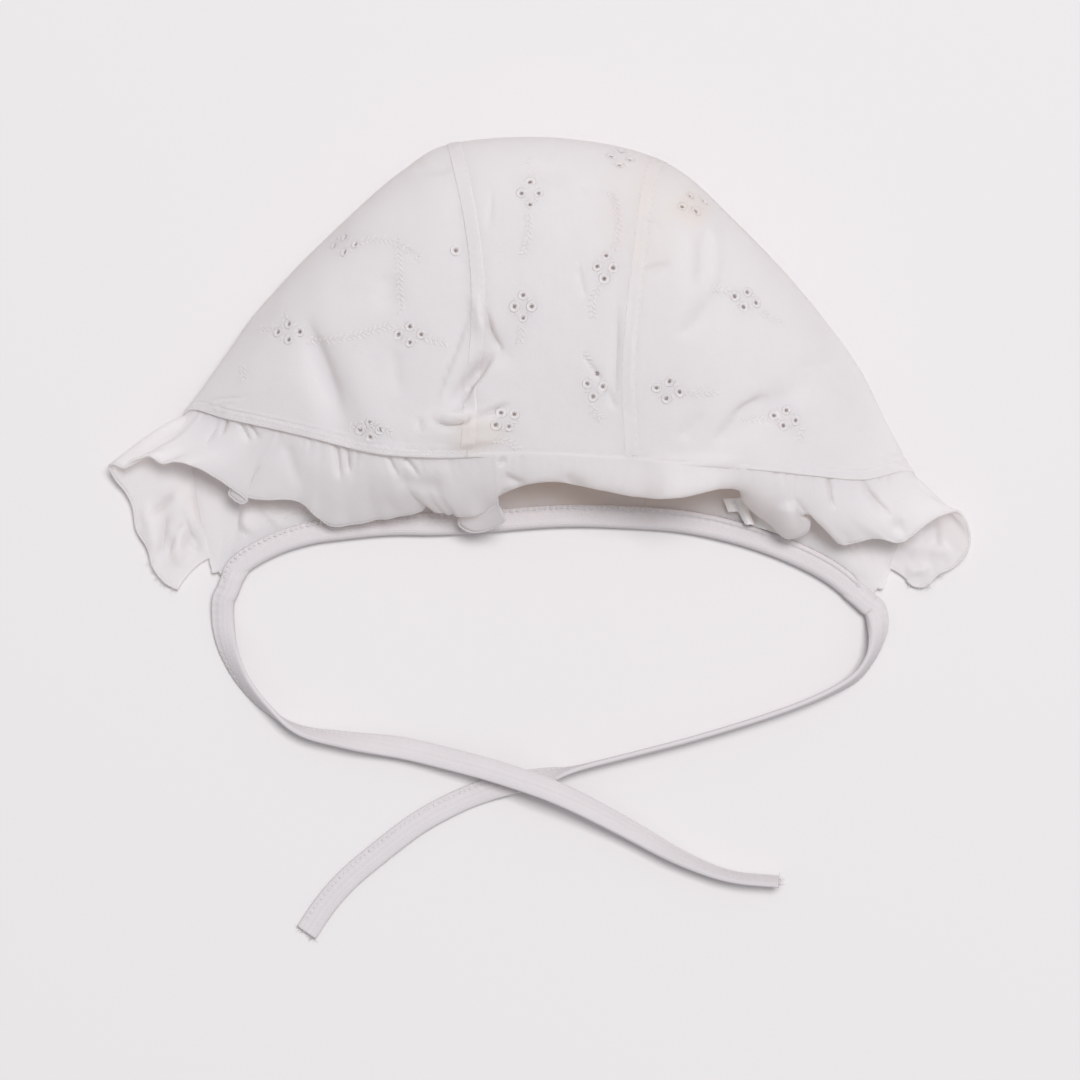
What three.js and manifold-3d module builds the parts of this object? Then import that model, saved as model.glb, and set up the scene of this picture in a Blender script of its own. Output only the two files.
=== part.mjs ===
// Baby sun hat of eyelet cotton with a gathered brim and two ties, in millimetres, +Z up.
// It lies on its nape side on z = 0: +X runs across the face opening, and +Y runs from the opening
// to the top of the crown, so the face edge of the upper cloth looks towards -Y.

import * as THREE from 'three';
import { mergeVertices } from 'three/addons/utils/BufferGeometryUtils.js';
import Module from 'manifold-3d';

const wasm = await Module();
wasm.setup();

// Driving dimensions
const CLOTH = 1.2;            // wall of the crown panels and of the brim
const TAPE_WALL = 1.0;        // wall of the binding tape round the nape edge
const BAND_WIDTH = 6.4;       // width of the tape folded over the nape edge
const TIE_WIDTH = 6.8;        // width of the same tape where it is folded shut as a tie
const TIE_WALL = 1.8;         // the tape folded shut and sewn, as it is along the ties
const LABEL_WALL = 1.0;
const SEW_GAP = 0.3;          // clear gap between pieces that are sewn together
const BRIM_GAP = 0.6;         // clear gap at the gathered face seam, where the cloth changes direction
const ROLL_REACH = 30;        // stretch of the upper cloth that rolls over to the fold
const UNDER_REACH = 12;       // stretch below the fold where the cloth comes down to the surface
const BAND_FLAT = 7;          // nape stretch that lies level inside the folded tape
const BAND_RAMP = 16;         // distance from the nape edge where the cloth starts to rise to it
const DENT_FULL = 20;         // height of the upper cloth from which a dent has its full depth
const HEM_REST = 1;           // lowest height of the middle of the ruffle's hem
const EYELET = 1.9;           // width of one cut eyelet
const BAND_HALF_GAP = CLOTH / 2 + SEW_GAP + TAPE_WALL / 2;
const BAND_MID = BAND_HALF_GAP + TAPE_WALL / 2;

// A table turns rows of sizes into objects with named columns
function table(columns, rows) {
  return rows.map((row) => Object.fromEntries(columns.map((name, i) => [name, row[i]])));
}

// The crown, a row for each rib from the left ear corner to the right one. A rib starts on the face
// edge, runs to the fold at the rim of the lying hat, turns under it and ends on the nape edge.
// rise and nose are the heights of the face edge and the fold above the flat cloth, and swell is
// how far the upper cloth bulges between them. sway is how far its middle is pulled sideways.
const RIBS = table(
  ['faceX', 'faceY', 'rise', 'foldX', 'foldY', 'nose', 'napeX', 'napeY', 'swell', 'sway'],
  [
    [-97.8, -59.2, 0.0, -96.2, -58.8, 0.0, -92.3, -64.1, 0, 0],
    [-103.0, -41.4, 0.3, -94.0, -38.4, 0.2, -89.3, -57.8, 0, 0],
    [-105.0, -24.9, 1.5, -91.0, -6.4, 1.0, -80.0, -52.1, 0, 0],
    [-105.3, -11.0, 6.0, -90.3, 9.6, 5.0, -69.0, -48.5, 1, 0],
    [-91.5, -13.6, 14.0, -75.3, 28.4, 6.0, -57.0, -46.8, 3, 0],
    [-71.0, -18.2, 21.0, -56.0, 47.2, 7.0, -44.5, -45.7, 5, 0],
    [-50.0, -23.5, 25.0, -40.7, 60.3, 7.5, -32.0, -45.7, 6, 4],
    [-30.5, -25.2, 28.0, -25.6, 68.3, 8.0, -19.0, -45.1, 6, 9],
    [6.0, -25.0, 29.0, 6.0, 69.8, 8.0, 7.0, -43.2, 7, 0],
    [60.0, -28.6, 28.0, 36.3, 63.0, 8.0, 31.0, -43.9, 6, -6],
    [78.0, -30.2, 22.0, 58.3, 45.0, 7.0, 45.8, -45.4, 5, -2],
    [95.3, -31.4, 14.5, 82.3, 19.0, 6.0, 60.5, -48.8, 3, 0],
    [110.6, -29.2, 6.5, 98.4, -5.6, 5.0, 74.0, -53.6, 1, 0],
    [110.5, -43.0, 1.5, 93.0, -20.4, 1.0, 86.5, -60.0, 0, 0],
    [102.8, -64.0, 0.0, 101.0, -63.8, 0.0, 97.6, -69.0, 0, 0],
  ],
);
const LAST_RIB = RIBS.length - 1;
const SEAM_SHARE = 0.012;     // half the seam gap, as a share of the space between two ribs

// The two seams between the panels, in ribs, in even steps from the face edge up to the fold. Beyond
// the fold each of them stays on its rib.
const SEAMS = table(
  ['left', 'right'],
  [
    [7.3, 8.38],
    [7.13, 8.45],
    [7.04, 8.6],
    [7.0, 8.78],
    [7.0, 9.0],
  ],
);

// Soft dents and ridges of the upper cloth: centre, heading in degrees, half length, half width, height
const DENTS = table(
  ['x', 'y', 'heading', 'long', 'wide', 'high'],
  [
    [-61.5, -4.2, -69, 15, 5, -2.2],
    [-52.5, -6.0, -69, 15, 6, 1.2],
    [-18.0, -2.0, 55, 13, 4, -2.6],
    [-22.0, -15.8, 5, 11, 4, 2.4],
    [43.0, 26.5, 84, 19, 7, 2.2],
    [51.5, 26.5, 84, 18, 4, -1.6],
    [64.5, -12.0, 35, 16, 4, -2.0],
    [-22.5, 44.0, -86, 26, 4, -0.9],
  ],
);

// The brim, a row for each fold of the ruffle from the left end to the right one. at is the place on
// the face edge in ribs, hem is where the free edge lies, arch is how far the cloth runs on in the
// crown's direction before it falls, and wave is the height of the small gathers at the hem.
const FOLDS = table(
  ['at', 'hemX', 'hemY', 'hemZ', 'arch', 'wave'],
  [
    [0.25, -108.8, -64.5, 1.6, 4, 0.2],
    [1.0, -115.2, -57.0, 2.0, 6, 0.4],
    [1.9, -121.5, -39.6, 3.0, 7, 0.6],
    [2.8, -128.3, -26.8, 6.5, 8, 0.4],
    [3.3, -121.8, -25.0, 11.0, 9, 0.6],
    [3.8, -111.2, -25.8, 13.0, 9, 0.8],
    [4.2, -99.2, -28.8, 14.5, 9, 0.8],
    [4.6, -89.1, -37.3, 10.5, 9, 0.8],
    [5.0, -74.1, -37.6, 13.0, 10, 0.8],
    [5.5, -62.5, -44.7, 8.5, 10, 0.8],
    [6.2, -46.0, -42.7, 11.0, 10, 0.8],
    [6.8, -32.0, -40.9, 12.5, 10, 0.8],
    [7.15, -22.0, -43.9, 12.0, 10, 0.8],
    [7.35, -14.2, -45.4, 14.5, 12, 0.4],
    [7.6, -7.0, -27.0, 16.5, 15, 0.2],
    [8.0, 8.0, -20.5, 16.0, 17, 0.2],
    [8.5, 32.0, -22.5, 15.0, 23, 0.2],
    [8.9, 55.0, -24.0, 16.0, 13, 0.2],
    [9.15, 61.6, -38.2, 14.5, 10, 0.4],
    [9.6, 74.0, -48.3, 10.5, 10, 0.6],
    [9.9, 78.9, -40.9, 16.5, 11, 0.3],
    [10.4, 89.7, -50.1, 10.5, 10, 0.6],
    [10.9, 100.9, -48.6, 12.0, 10, 0.8],
    [11.3, 109.3, -49.2, 10.5, 10, 0.8],
    [11.8, 119.5, -41.2, 12.5, 6, 0.5],
    [12.2, 127.9, -48.6, 7.0, 6, 0.4],
    [12.7, 124.8, -56.7, 3.0, 7, 0.5],
    [13.3, 117.7, -61.5, 1.8, 5, 0.4],
    [13.72, 113.2, -63.6, 1.5, 3, 0.2],
  ],
);
const LAST_FOLD = FOLDS.length - 1;
const GATHERS = 24;           // small waves along the whole hem

// The ties, a row for each point of the route on the surface. roll turns the tape about its route,
// 0 lying flat and 180 lying flat turned over. lift is what it is raised by at the crossing.
const ROUTE = ['x', 'y', 'roll', 'lift'];
const LEFT_ROUTE = table(ROUTE, [
  [-93.4, -64.1, 0, 1.0],
  [-94.8, -67.0, 3, 0.9],
  [-95.0, -71.5, 8, 0.3],
  [-94.5, -76.5, 18, 0],
  [-92.9, -83.0, 38, 0],
  [-88.9, -91.0, 56, 0],
  [-81.7, -99.4, 72, 0],
  [-72.0, -106.0, 104, 0],
  [-58.2, -109.0, 130, 0.3],
  [-42.0, -111.4, 158, 1.0],
  [-27.0, -114.6, 166, 3.0],
  [-12.0, -118.7, 170, 5.4],
  [1.5, -123.0, 166, 7.2],
  [15.0, -129.4, 153, 4.4],
  [30.0, -137.6, 139, 1.2],
  [45.0, -145.6, 126, 0.2],
  [57.0, -149.8, 117, 0],
  [71.3, -151.4, 116, 0],
]);
const RIGHT_ROUTE = table(ROUTE, [
  [98.6, -68.5, 0, 1.0],
  [100.2, -69.9, -6, 0.9],
  [101.1, -74.2, -28, 0.4],
  [100.6, -79.6, -54, 0],
  [98.4, -85.2, -68, 0],
  [93.6, -90.8, -73, 0],
  [83.5, -96.2, -80, 0],
  [68.8, -101.7, -84, 0],
  [47.8, -108.2, -84, 0],
  [30.0, -112.9, -84, 0],
  [15.0, -116.6, -87, 0],
  [8.0, -118.3, -98, 0],
  [1.5, -119.9, -128, 0],
  [-15.2, -123.9, -176, 0],
  [-30.5, -130.4, -176, 0],
  [-42.7, -138.6, -176, 0],
  [-54.7, -148.1, -178, 0],
  [-64.0, -158.1, -180, 0],
  [-70.1, -166.8, -180, 0],
]);

// Eyelet motifs of the upper cloth, four cut holes in a lozenge: centre, heading, half length, half width
const MOTIFS = table(
  ['x', 'y', 'heading', 'long', 'wide'],
  [
    [-57.3, 37.5, 0, 3.3, 2.3],
    [-73.8, 11.9, 0, 3.3, 2.3],
    [-37.9, 10.6, 0, 3.3, 2.3],
    [-49.7, -17.0, 0, 3.0, 2.1],
    [-2.9, 51.7, 90, 3.4, 2.5],
    [-4.9, 18.5, 90, 3.3, 2.5],
    [-10.2, -14.2, 30, 3.1, 2.3],
    [23.6, 62.9, 80, 2.4, 2.8],
    [18.9, 29.9, 85, 3.4, 2.3],
    [16.0, -4.2, 80, 3.4, 2.3],
    [44.7, 49.3, 20, 3.4, 2.5],
    [60.0, 21.0, -15, 3.3, 2.3],
    [37.2, -5.6, -10, 3.4, 2.5],
    [71.7, -13.5, -12, 3.3, 2.3],
  ],
);

// Value of a column at a place given in rows, on a smooth curve through the rows
function columnAt(rows, name, place) {
  const last = rows.length - 1;
  const step = Math.min(Math.max(Math.floor(place), 0), last - 1);
  const t = place - step;
  const here = rows[step][name];
  const next = rows[step + 1][name];
  const before = step > 0 ? rows[step - 1][name] : 2 * here - next;
  const after = step + 2 <= last ? rows[step + 2][name] : 2 * next - here;
  const slopeHere = (next - before) / 2;
  const slopeNext = (after - here) / 2;
  const bend = 2 * (here - next) + slopeHere + slopeNext;
  return ((bend * t + (next - here - slopeHere - bend)) * t + slopeHere) * t + here;
}

function smooth(low, high, value) {
  return THREE.MathUtils.smoothstep(value, low, high);
}

// Height that the dents add to the upper cloth at a point of the plan
function dentAt(x, y) {
  let height = 0;
  for (const dent of DENTS) {
    const turn = THREE.MathUtils.degToRad(dent.heading);
    const along = (x - dent.x) * Math.cos(turn) + (y - dent.y) * Math.sin(turn);
    const across = (y - dent.y) * Math.cos(turn) - (x - dent.x) * Math.sin(turn);
    height += dent.high * Math.exp(-((along / dent.long) ** 2) - (across / dent.wide) ** 2);
  }
  return height;
}

// Shares of a rib's length: upper cloth, roll to the fold, turn under, lower cloth
const ROLL_FROM = 0.32;
const FOLD_AT = 0.5;
const FLAT_FROM = 0.6;
const UNDER_MOST = 0.5;       // most of the lower cloth that may be spent on coming down

// Middle of the crown's cloth: place counts ribs from the left corner, v runs from face edge to nape
function crown(place, v) {
  const rib = (name) => columnAt(RIBS, name, place);
  const face = new THREE.Vector2(rib('faceX'), rib('faceY'));
  const fold = new THREE.Vector2(rib('foldX'), rib('foldY'));
  const nape = new THREE.Vector2(rib('napeX'), rib('napeY'));
  const nose = Math.max(rib('nose'), 0);
  const quarter = Math.PI / 2;
  if (v <= FOLD_AT) {
    const length = face.distanceTo(fold);
    const rollFrom = Math.max(1 - ROLL_REACH / length, ROLL_FROM);
    const turn = quarter * Math.max((v - ROLL_FROM) / (FOLD_AT - ROLL_FROM), 0);
    const flat = rollFrom * Math.min(v / ROLL_FROM, 1);
    const share = flat + (1 - rollFrom) * Math.sin(turn);
    const plan = face.clone().lerp(fold, share);
    plan.x += rib('sway') * Math.sin(Math.PI * share);
    const top = Math.max(rib('rise'), 0) + Math.max(rib('swell'), 0) * Math.sin(Math.PI * share);
    const dent = dentAt(plan.x, plan.y) * smooth(0, DENT_FULL, top);
    const height = nose + (top + dent - nose) * Math.cos(turn);
    const toNape = plan.distanceTo(nape);
    return new THREE.Vector3(plan.x, plan.y, CLOTH / 2 + height + napeLift(toNape, height));
  }
  const length = fold.distanceTo(nape);
  const under = Math.min(UNDER_REACH / length, UNDER_MOST);
  const turn = quarter * Math.min((v - FOLD_AT) / (FLAT_FROM - FOLD_AT), 1);
  const flat = Math.max((v - FLAT_FROM) / (1 - FLAT_FROM), 0);
  const share = under * (1 - Math.cos(turn)) + (1 - under) * flat;
  const plan = fold.clone().lerp(nape, share);
  const height = nose * (1 - Math.sin(turn));
  return new THREE.Vector3(plan.x, plan.y, CLOTH / 2 + height + napeLift(plan.distanceTo(nape), height));
}

// The cloth rises a little where the folded tape holds it
function napeLift(toNape, height) {
  const rise = BAND_MID - CLOTH / 2;
  return Math.max(rise - height, 0) * (1 - smooth(BAND_FLAT, BAND_RAMP, toNape));
}

// Outward direction of the crown's cloth at the face edge, square to the edge
const NUDGE = 0.02;           // step, in ribs or shares, that a direction is measured over
function faceOut(place) {
  const ahead = crown(Math.min(place + NUDGE, LAST_RIB), 0);
  const behind = crown(Math.max(place - NUDGE, 0), 0);
  const edge = ahead.sub(behind).normalize();
  const out = crown(place, 0).sub(crown(place, NUDGE));
  return out.addScaledVector(edge, -out.dot(edge)).normalize();
}

// Middle of the brim: along counts folds from the left end, w runs from the face seam to the hem
function brim(along, w) {
  const fold = (name) => columnAt(FOLDS, name, along);
  const out = faceOut(fold('at'));
  const root = crown(fold('at'), 0).addScaledVector(out, BRIM_GAP);
  const hem = new THREE.Vector3(fold('hemX'), fold('hemY'), Math.max(fold('hemZ'), HEM_REST));
  const knee = root.clone().addScaledVector(out, fold('arch'));
  const point = root.clone().multiplyScalar((1 - w) ** 2);
  point.addScaledVector(knee, 2 * w * (1 - w));
  point.addScaledVector(hem, w * w);
  const phase = (2 * Math.PI * GATHERS * along) / LAST_FOLD;
  point.z += fold('wave') * w * Math.sin(phase);
  point.z = Math.max(point.z, CLOTH);
  return point;
}

// A tape folded in two, walked from the end of one leg round the bend to the end of the other:
// straight is the distance from the bend, and turn the angle that the bend has made so far
function foldedTape(w, leg, halfGap) {
  const bendLength = Math.PI * halfGap;
  const walked = w * (2 * leg + bendLength) - leg;
  const turn = THREE.MathUtils.clamp(walked / bendLength, 0, 1) * Math.PI;
  const straight = Math.max(-walked, walked - bendLength, 0);
  return { straight, turn };
}

// Middle of the binding tape: along counts ribs, w runs round the fold from the upper leg to the lower one
function band(along, w) {
  const ahead = napePoint(Math.min(along + NUDGE, LAST_RIB));
  const behind = napePoint(Math.max(along - NUDGE, 0));
  const heading = ahead.sub(behind).normalize();
  const inward = new THREE.Vector2(-heading.y, heading.x);
  const leg = BAND_WIDTH - BAND_HALF_GAP - SEW_GAP;
  const { straight, turn } = foldedTape(w, leg, BAND_HALF_GAP);
  const reach = straight - BAND_HALF_GAP * Math.sin(turn) - SEW_GAP;
  const plan = napePoint(along).addScaledVector(inward, reach);
  return new THREE.Vector3(plan.x, plan.y, BAND_MID + BAND_HALF_GAP * Math.cos(turn));
}

function napePoint(place) {
  return new THREE.Vector2(columnAt(RIBS, 'napeX', place), columnAt(RIBS, 'napeY', place));
}

// Middle of a tie: along counts route rows, w runs across the tape
function tie(route, along, w) {
  const last = route.length - 1;
  const at = (place, name) => columnAt(route, name, THREE.MathUtils.clamp(place, 0, last));
  const ahead = new THREE.Vector2(
    at(along + NUDGE, 'x') - at(along - NUDGE, 'x'),
    at(along + NUDGE, 'y') - at(along - NUDGE, 'y'),
  ).normalize();
  const roll = THREE.MathUtils.degToRad(at(along, 'roll'));
  const half = TIE_WIDTH / 2;
  const rest = half * Math.abs(Math.sin(roll)) + (TIE_WALL / 2) * Math.abs(Math.cos(roll));
  const side = (2 * w - 1) * half;
  return new THREE.Vector3(
    at(along, 'x') - ahead.y * side * Math.cos(roll),
    at(along, 'y') + ahead.x * side * Math.cos(roll),
    rest + Math.max(at(along, 'lift'), 0) + side * Math.sin(roll),
  );
}

// The label's ribbon: u runs along the band, w round the fold of the loop
const LABEL_FROM = new THREE.Vector2(54.5, -41.6);
const LABEL_TO = new THREE.Vector2(72, -47.2);
const LABEL_REACH = 9;        // length of each leg of the loop
const LABEL_HALF_GAP = 2;     // half the height between the two legs
const LABEL_FOOT = 3.6;       // height of the lower leg
function labelRibbon(u, w) {
  const run = LABEL_TO.clone().sub(LABEL_FROM);
  const inward = new THREE.Vector2(-run.y, run.x).normalize();
  const { straight, turn } = foldedTape(w, LABEL_REACH, LABEL_HALF_GAP);
  const reach = LABEL_REACH - straight + LABEL_HALF_GAP * Math.sin(turn);
  const plan = LABEL_FROM.clone().addScaledVector(run, u).addScaledVector(inward, reach);
  return new THREE.Vector3(plan.x, plan.y, LABEL_FOOT + LABEL_HALF_GAP * (1 - Math.cos(turn)));
}

// A closed wall of cloth: a box whose grid is laid on a surface and whose two faces stand off it.
// The box runs from 0 to 1 along and across the cloth and from -0.5 to 0.5 through it.
const MERGE_REACH = 1e-4;
const SLOPE_STEP = 0.002;
function clothWall(surface, wall, stepsU, stepsW) {
  const geometry = new THREE.BoxGeometry(1, 1, 1, stepsU, stepsW, 1);
  geometry.translate(0.5, 0.5, 0);
  const spots = geometry.attributes.position;
  for (let i = 0; i < spots.count; i++) {
    const u = spots.getX(i);
    const w = spots.getY(i);
    const alongU = surface(Math.min(u + SLOPE_STEP, 1), w);
    alongU.sub(surface(Math.max(u - SLOPE_STEP, 0), w));
    const alongW = surface(u, Math.min(w + SLOPE_STEP, 1));
    alongW.sub(surface(u, Math.max(w - SLOPE_STEP, 0)));
    const out = alongU.cross(alongW).normalize();
    const spot = surface(u, w).addScaledVector(out, spots.getZ(i) * wall);
    spots.setXYZ(i, spot.x, spot.y, spot.z);
  }
  geometry.deleteAttribute('normal');
  geometry.deleteAttribute('uv');
  return mergeVertices(geometry, MERGE_REACH);
}

function toSolid(geometry) {
  const vertProperties = new Float32Array(geometry.attributes.position.array);
  const triVerts = new Uint32Array(geometry.index.array);
  return new wasm.Manifold(new wasm.Mesh({ numProp: 3, vertProperties, triVerts }));
}

function toGeometry(solid) {
  const mesh = solid.getMesh();
  const geometry = new THREE.BufferGeometry();
  geometry.setAttribute('position', new THREE.BufferAttribute(mesh.vertProperties, 3));
  geometry.setIndex(new THREE.BufferAttribute(mesh.triVerts, 1));
  return geometry;
}

// Six-sided punches that cut one eyelet motif through the upper cloth
const PUNCH_FOOT = 6;
const PUNCH_HEIGHT = 60;
const PUNCH_SIDES = 6;
function punches(motif) {
  const turn = THREE.MathUtils.degToRad(motif.heading);
  const spots = [[motif.long, 0], [-motif.long, 0], [0, motif.wide], [0, -motif.wide]];
  return spots.map(([along, across]) => {
    const punch = new THREE.CylinderGeometry(EYELET / 2, EYELET / 2, PUNCH_HEIGHT, PUNCH_SIDES);
    punch.rotateX(Math.PI / 2);
    punch.translate(
      motif.x + along * Math.cos(turn) - across * Math.sin(turn),
      motif.y + along * Math.sin(turn) + across * Math.cos(turn),
      PUNCH_FOOT + PUNCH_HEIGHT / 2,
    );
    punch.deleteAttribute('normal');
    punch.deleteAttribute('uv');
    return toSolid(mergeVertices(punch, MERGE_REACH));
  });
}

// Place of a seam in ribs
function seamAt(side, v) {
  return columnAt(SEAMS, side, (SEAMS.length - 1) * Math.min(v / FOLD_AT, 1));
}

// One crown panel between two borders, each given in ribs for v, with the eyelets cut through it
function crownPanel(from, to, stepsU, stepsV) {
  const surface = (u, v) => crown(from(v) + (to(v) - from(v)) * u, v);
  let solid = toSolid(clothWall(surface, CLOTH, stepsU, stepsV));
  for (const motif of MOTIFS) {
    for (const punch of punches(motif)) solid = solid.subtract(punch);
  }
  return toGeometry(solid);
}

const cotton = new THREE.MeshStandardMaterial({ color: 0xe6e3e5, roughness: 0.92, metalness: 0 });
const jersey = new THREE.MeshStandardMaterial({ color: 0xe4e1e3, roughness: 0.9, metalness: 0 });
const tape = new THREE.MeshStandardMaterial({ color: 0xe0dcda, roughness: 0.85, metalness: 0 });
const satin = new THREE.MeshStandardMaterial({ color: 0xeeeef0, roughness: 0.4, metalness: 0 });

const hat = new THREE.Group();
function add(name, geometry, material) {
  const mesh = new THREE.Mesh(geometry, material);
  mesh.name = name;
  hat.add(mesh);
}

// Steps of each wall's grid, along the piece and across it
const STEPS = {
  sideLeft: [22, 22],
  centre: [8, 22],
  sideRight: [15, 22],
  brim: [112, 4],
  band: [44, 6],
  tie: [45, 3],
  label: [4, 10],
};
const leftCorner = () => 0;
const leftSeamStart = (v) => seamAt('left', v) - SEAM_SHARE;
const leftSeamEnd = (v) => seamAt('left', v) + SEAM_SHARE;
const rightSeamStart = (v) => seamAt('right', v) - SEAM_SHARE;
const rightSeamEnd = (v) => seamAt('right', v) + SEAM_SHARE;
const rightCorner = () => LAST_RIB;
const brimSurface = (u, w) => brim(u * LAST_FOLD, 1 - w);
const bandSurface = (u, w) => band(u * LAST_RIB, w);
const tieSurface = (route) => (u, w) => tie(route, u * (route.length - 1), w);

add('side_panel_left', crownPanel(leftCorner, leftSeamStart, ...STEPS.sideLeft), cotton);
add('centre_panel', crownPanel(leftSeamEnd, rightSeamStart, ...STEPS.centre), cotton);
add('side_panel_right', crownPanel(rightSeamEnd, rightCorner, ...STEPS.sideRight), cotton);
add('brim_ruffle', clothWall(brimSurface, CLOTH, ...STEPS.brim), jersey);
add('nape_band', clothWall(bandSurface, TAPE_WALL, ...STEPS.band), tape);
add('tie_left', clothWall(tieSurface(LEFT_ROUTE), TIE_WALL, ...STEPS.tie), tape);
add('tie_right', clothWall(tieSurface(RIGHT_ROUTE), TIE_WALL, ...STEPS.tie), tape);
add('label', clothWall(labelRibbon, LABEL_WALL, ...STEPS.label), satin);

export default hat;
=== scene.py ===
# %% [markdown]
# # A baby's sun hat, lying on its nape side
#
# The hat is a small bonnet. Three panels of eyelet cotton make the crown, a gathered ruffle runs
# round the face, a folded tape binds the nape edge and goes on into two ties, and a bare ribbon
# label is caught in the nape. This lesson dresses the plain solids of that hat with real cloth.
#
# First the solids are loaded. They give the frame that every piece has to fit.

# %% Loading the solids
import math

import bmesh
import bpy
import numpy as np
from mathutils import Matrix, Vector, kdtree, noise


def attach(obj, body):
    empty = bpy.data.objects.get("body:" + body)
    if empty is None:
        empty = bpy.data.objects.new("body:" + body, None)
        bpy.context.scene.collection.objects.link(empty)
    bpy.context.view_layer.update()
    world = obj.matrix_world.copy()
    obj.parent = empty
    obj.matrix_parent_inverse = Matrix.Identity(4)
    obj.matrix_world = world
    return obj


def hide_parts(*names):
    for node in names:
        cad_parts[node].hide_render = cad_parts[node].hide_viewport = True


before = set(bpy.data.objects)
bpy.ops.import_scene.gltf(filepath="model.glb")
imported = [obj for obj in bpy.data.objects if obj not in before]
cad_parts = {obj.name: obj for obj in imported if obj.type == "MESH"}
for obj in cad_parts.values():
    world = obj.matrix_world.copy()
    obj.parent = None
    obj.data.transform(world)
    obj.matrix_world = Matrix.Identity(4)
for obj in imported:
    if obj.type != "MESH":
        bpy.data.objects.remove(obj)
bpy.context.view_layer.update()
MM = 0.001
print("solids:", ", ".join(sorted(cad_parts)))

# %% [markdown]
# ## Camera
#
# The hat was pictured from straight above. A camera with no turn at all looks down -Z with +Y at
# the top of the picture, so only its height, its place and its lens have to be set. The lens
# follows from the width of floor that the picture takes in.

# %% Camera above the hat
EYE_HEIGHT = 1.1
PICTURE_WIDTH = 0.324
PICTURE_MIDDLE_Y = -0.0492

camera_data = bpy.data.cameras.new("camera")
camera_data.lens = camera_data.sensor_width * EYE_HEIGHT / PICTURE_WIDTH
camera = bpy.data.objects.new("camera", camera_data)
camera.location = (0, PICTURE_MIDDLE_Y, EYE_HEIGHT)
bpy.context.scene.collection.objects.link(camera)
bpy.context.scene.camera = camera
print(f"camera lens {camera_data.lens:.1f} mm")

# %% [markdown]
# ## Tables and smooth curves
#
# Cloth is easiest to describe by a few sections. Each table below has a row for each section and
# a name for each column, in millimetres. A smooth curve through the rows gives the value between
# them, so a few rows are enough for a soft form.

# %% Curves through the rows of a table
def table(columns, rows):
    return {name: np.array(values, float) for name, values in zip(columns, zip(*rows))}


def column(rows, name, place):
    values = rows[name]
    last = len(values) - 1
    place = np.asarray(place, float)
    step = np.clip(np.floor(place).astype(int), 0, last - 1)
    t = place - step
    here = values[step]
    following = values[step + 1]
    before = np.where(step > 0, values[np.maximum(step - 1, 0)], 2 * here - following)
    beyond = np.where(step + 2 <= last, values[np.minimum(step + 2, last)], 2 * following - here)
    slope = (following - before) / 2
    next_slope = (beyond - here) / 2
    bend = 2 * (here - following) + slope + next_slope
    return ((bend * t + following - here - slope - bend) * t + slope) * t + here


def smooth(low, high, value):
    t = np.clip((value - low) / (high - low), 0, 1)
    return t * t * (3 - 2 * t)


def unit(vectors):
    return vectors / np.maximum(np.linalg.norm(vectors, axis=-1, keepdims=True), 1e-9)


def speckle(x, y, size, seed):
    """Smooth random heights from about -1 to 1, with spots of the given size."""
    spots = zip(np.ravel(x) / size, np.ravel(y) / size)
    return np.array([noise.noise(Vector((a, b, seed))) for a, b in spots]).reshape(np.shape(x))


print("row helpers are ready")

# %% [markdown]
# ## Finishes
#
# All the cloth is white, so the eye reads the weave, the fuzz and the shade in the folds. One
# function builds a cotton: two crossed waves on the cloth's own map make the threads, a fine noise
# makes the fuzz, and a slow noise varies the white a little. The map is in metres, so a thread has
# its real width on every piece. The crown lies nearly flat, so its weave is set out on the object's
# own x and y, which keeps the threads even where the panel's grid narrows. Thin cotton also lets
# light through, and warms it a little. Each face of the cloth's wall is a mix of a white surface
# and a translucent one, so the inside of the hat glows and the eyelets aren't black.

# %% Cotton finishes
WAVE_RADIANS = 20
WAVE_PERIOD = 2 * math.pi / WAVE_RADIANS
FUZZ_SCALE = 1300
TONE_SCALE = 90
ROUGHNESS = (0.82, 0.98)
COTTON_SHEEN = {"Sheen Weight": 0.05, "Sheen Roughness": 0.6, "Specular IOR Level": 0.2}
GLOW = (1, 0.94, 0.89, 1)


def new_finish(name):
    material = bpy.data.materials.new(name)
    material.use_nodes = True
    return material, material.node_tree, material.node_tree.nodes["Principled BSDF"]


def add_node(tree, kind, values=(), links=(), **settings):
    made = tree.nodes.new("ShaderNode" + kind)
    for key, value in settings.items():
        setattr(made, key, value)
    for name, value in dict(values).items():
        made.inputs[name].default_value = value
    for name, socket in dict(links).items():
        tree.links.new(socket, made.inputs[name])
    return made


def blend_colours(tree, factor, first, second):
    made = tree.nodes.new("ShaderNodeMix")
    made.data_type = "RGBA"
    tree.links.new(factor, made.inputs[0])
    for index, colour in ((6, first), (7, second)):
        if isinstance(colour, tuple):
            made.inputs[index].default_value = (*colour, 1)
        else:
            tree.links.new(colour, made.inputs[index])
    return made.outputs[2]


def let_light_through(tree, shader, share):
    """Mixes the surface with a translucent one."""
    through = add_node(tree, "BsdfTranslucent", {"Color": GLOW})
    both = add_node(tree, "MixShader", {0: share}, {1: shader.outputs["BSDF"], 2: through.outputs["BSDF"]})
    tree.links.new(both.outputs["Shader"], tree.nodes["Material Output"].inputs["Surface"])


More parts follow.
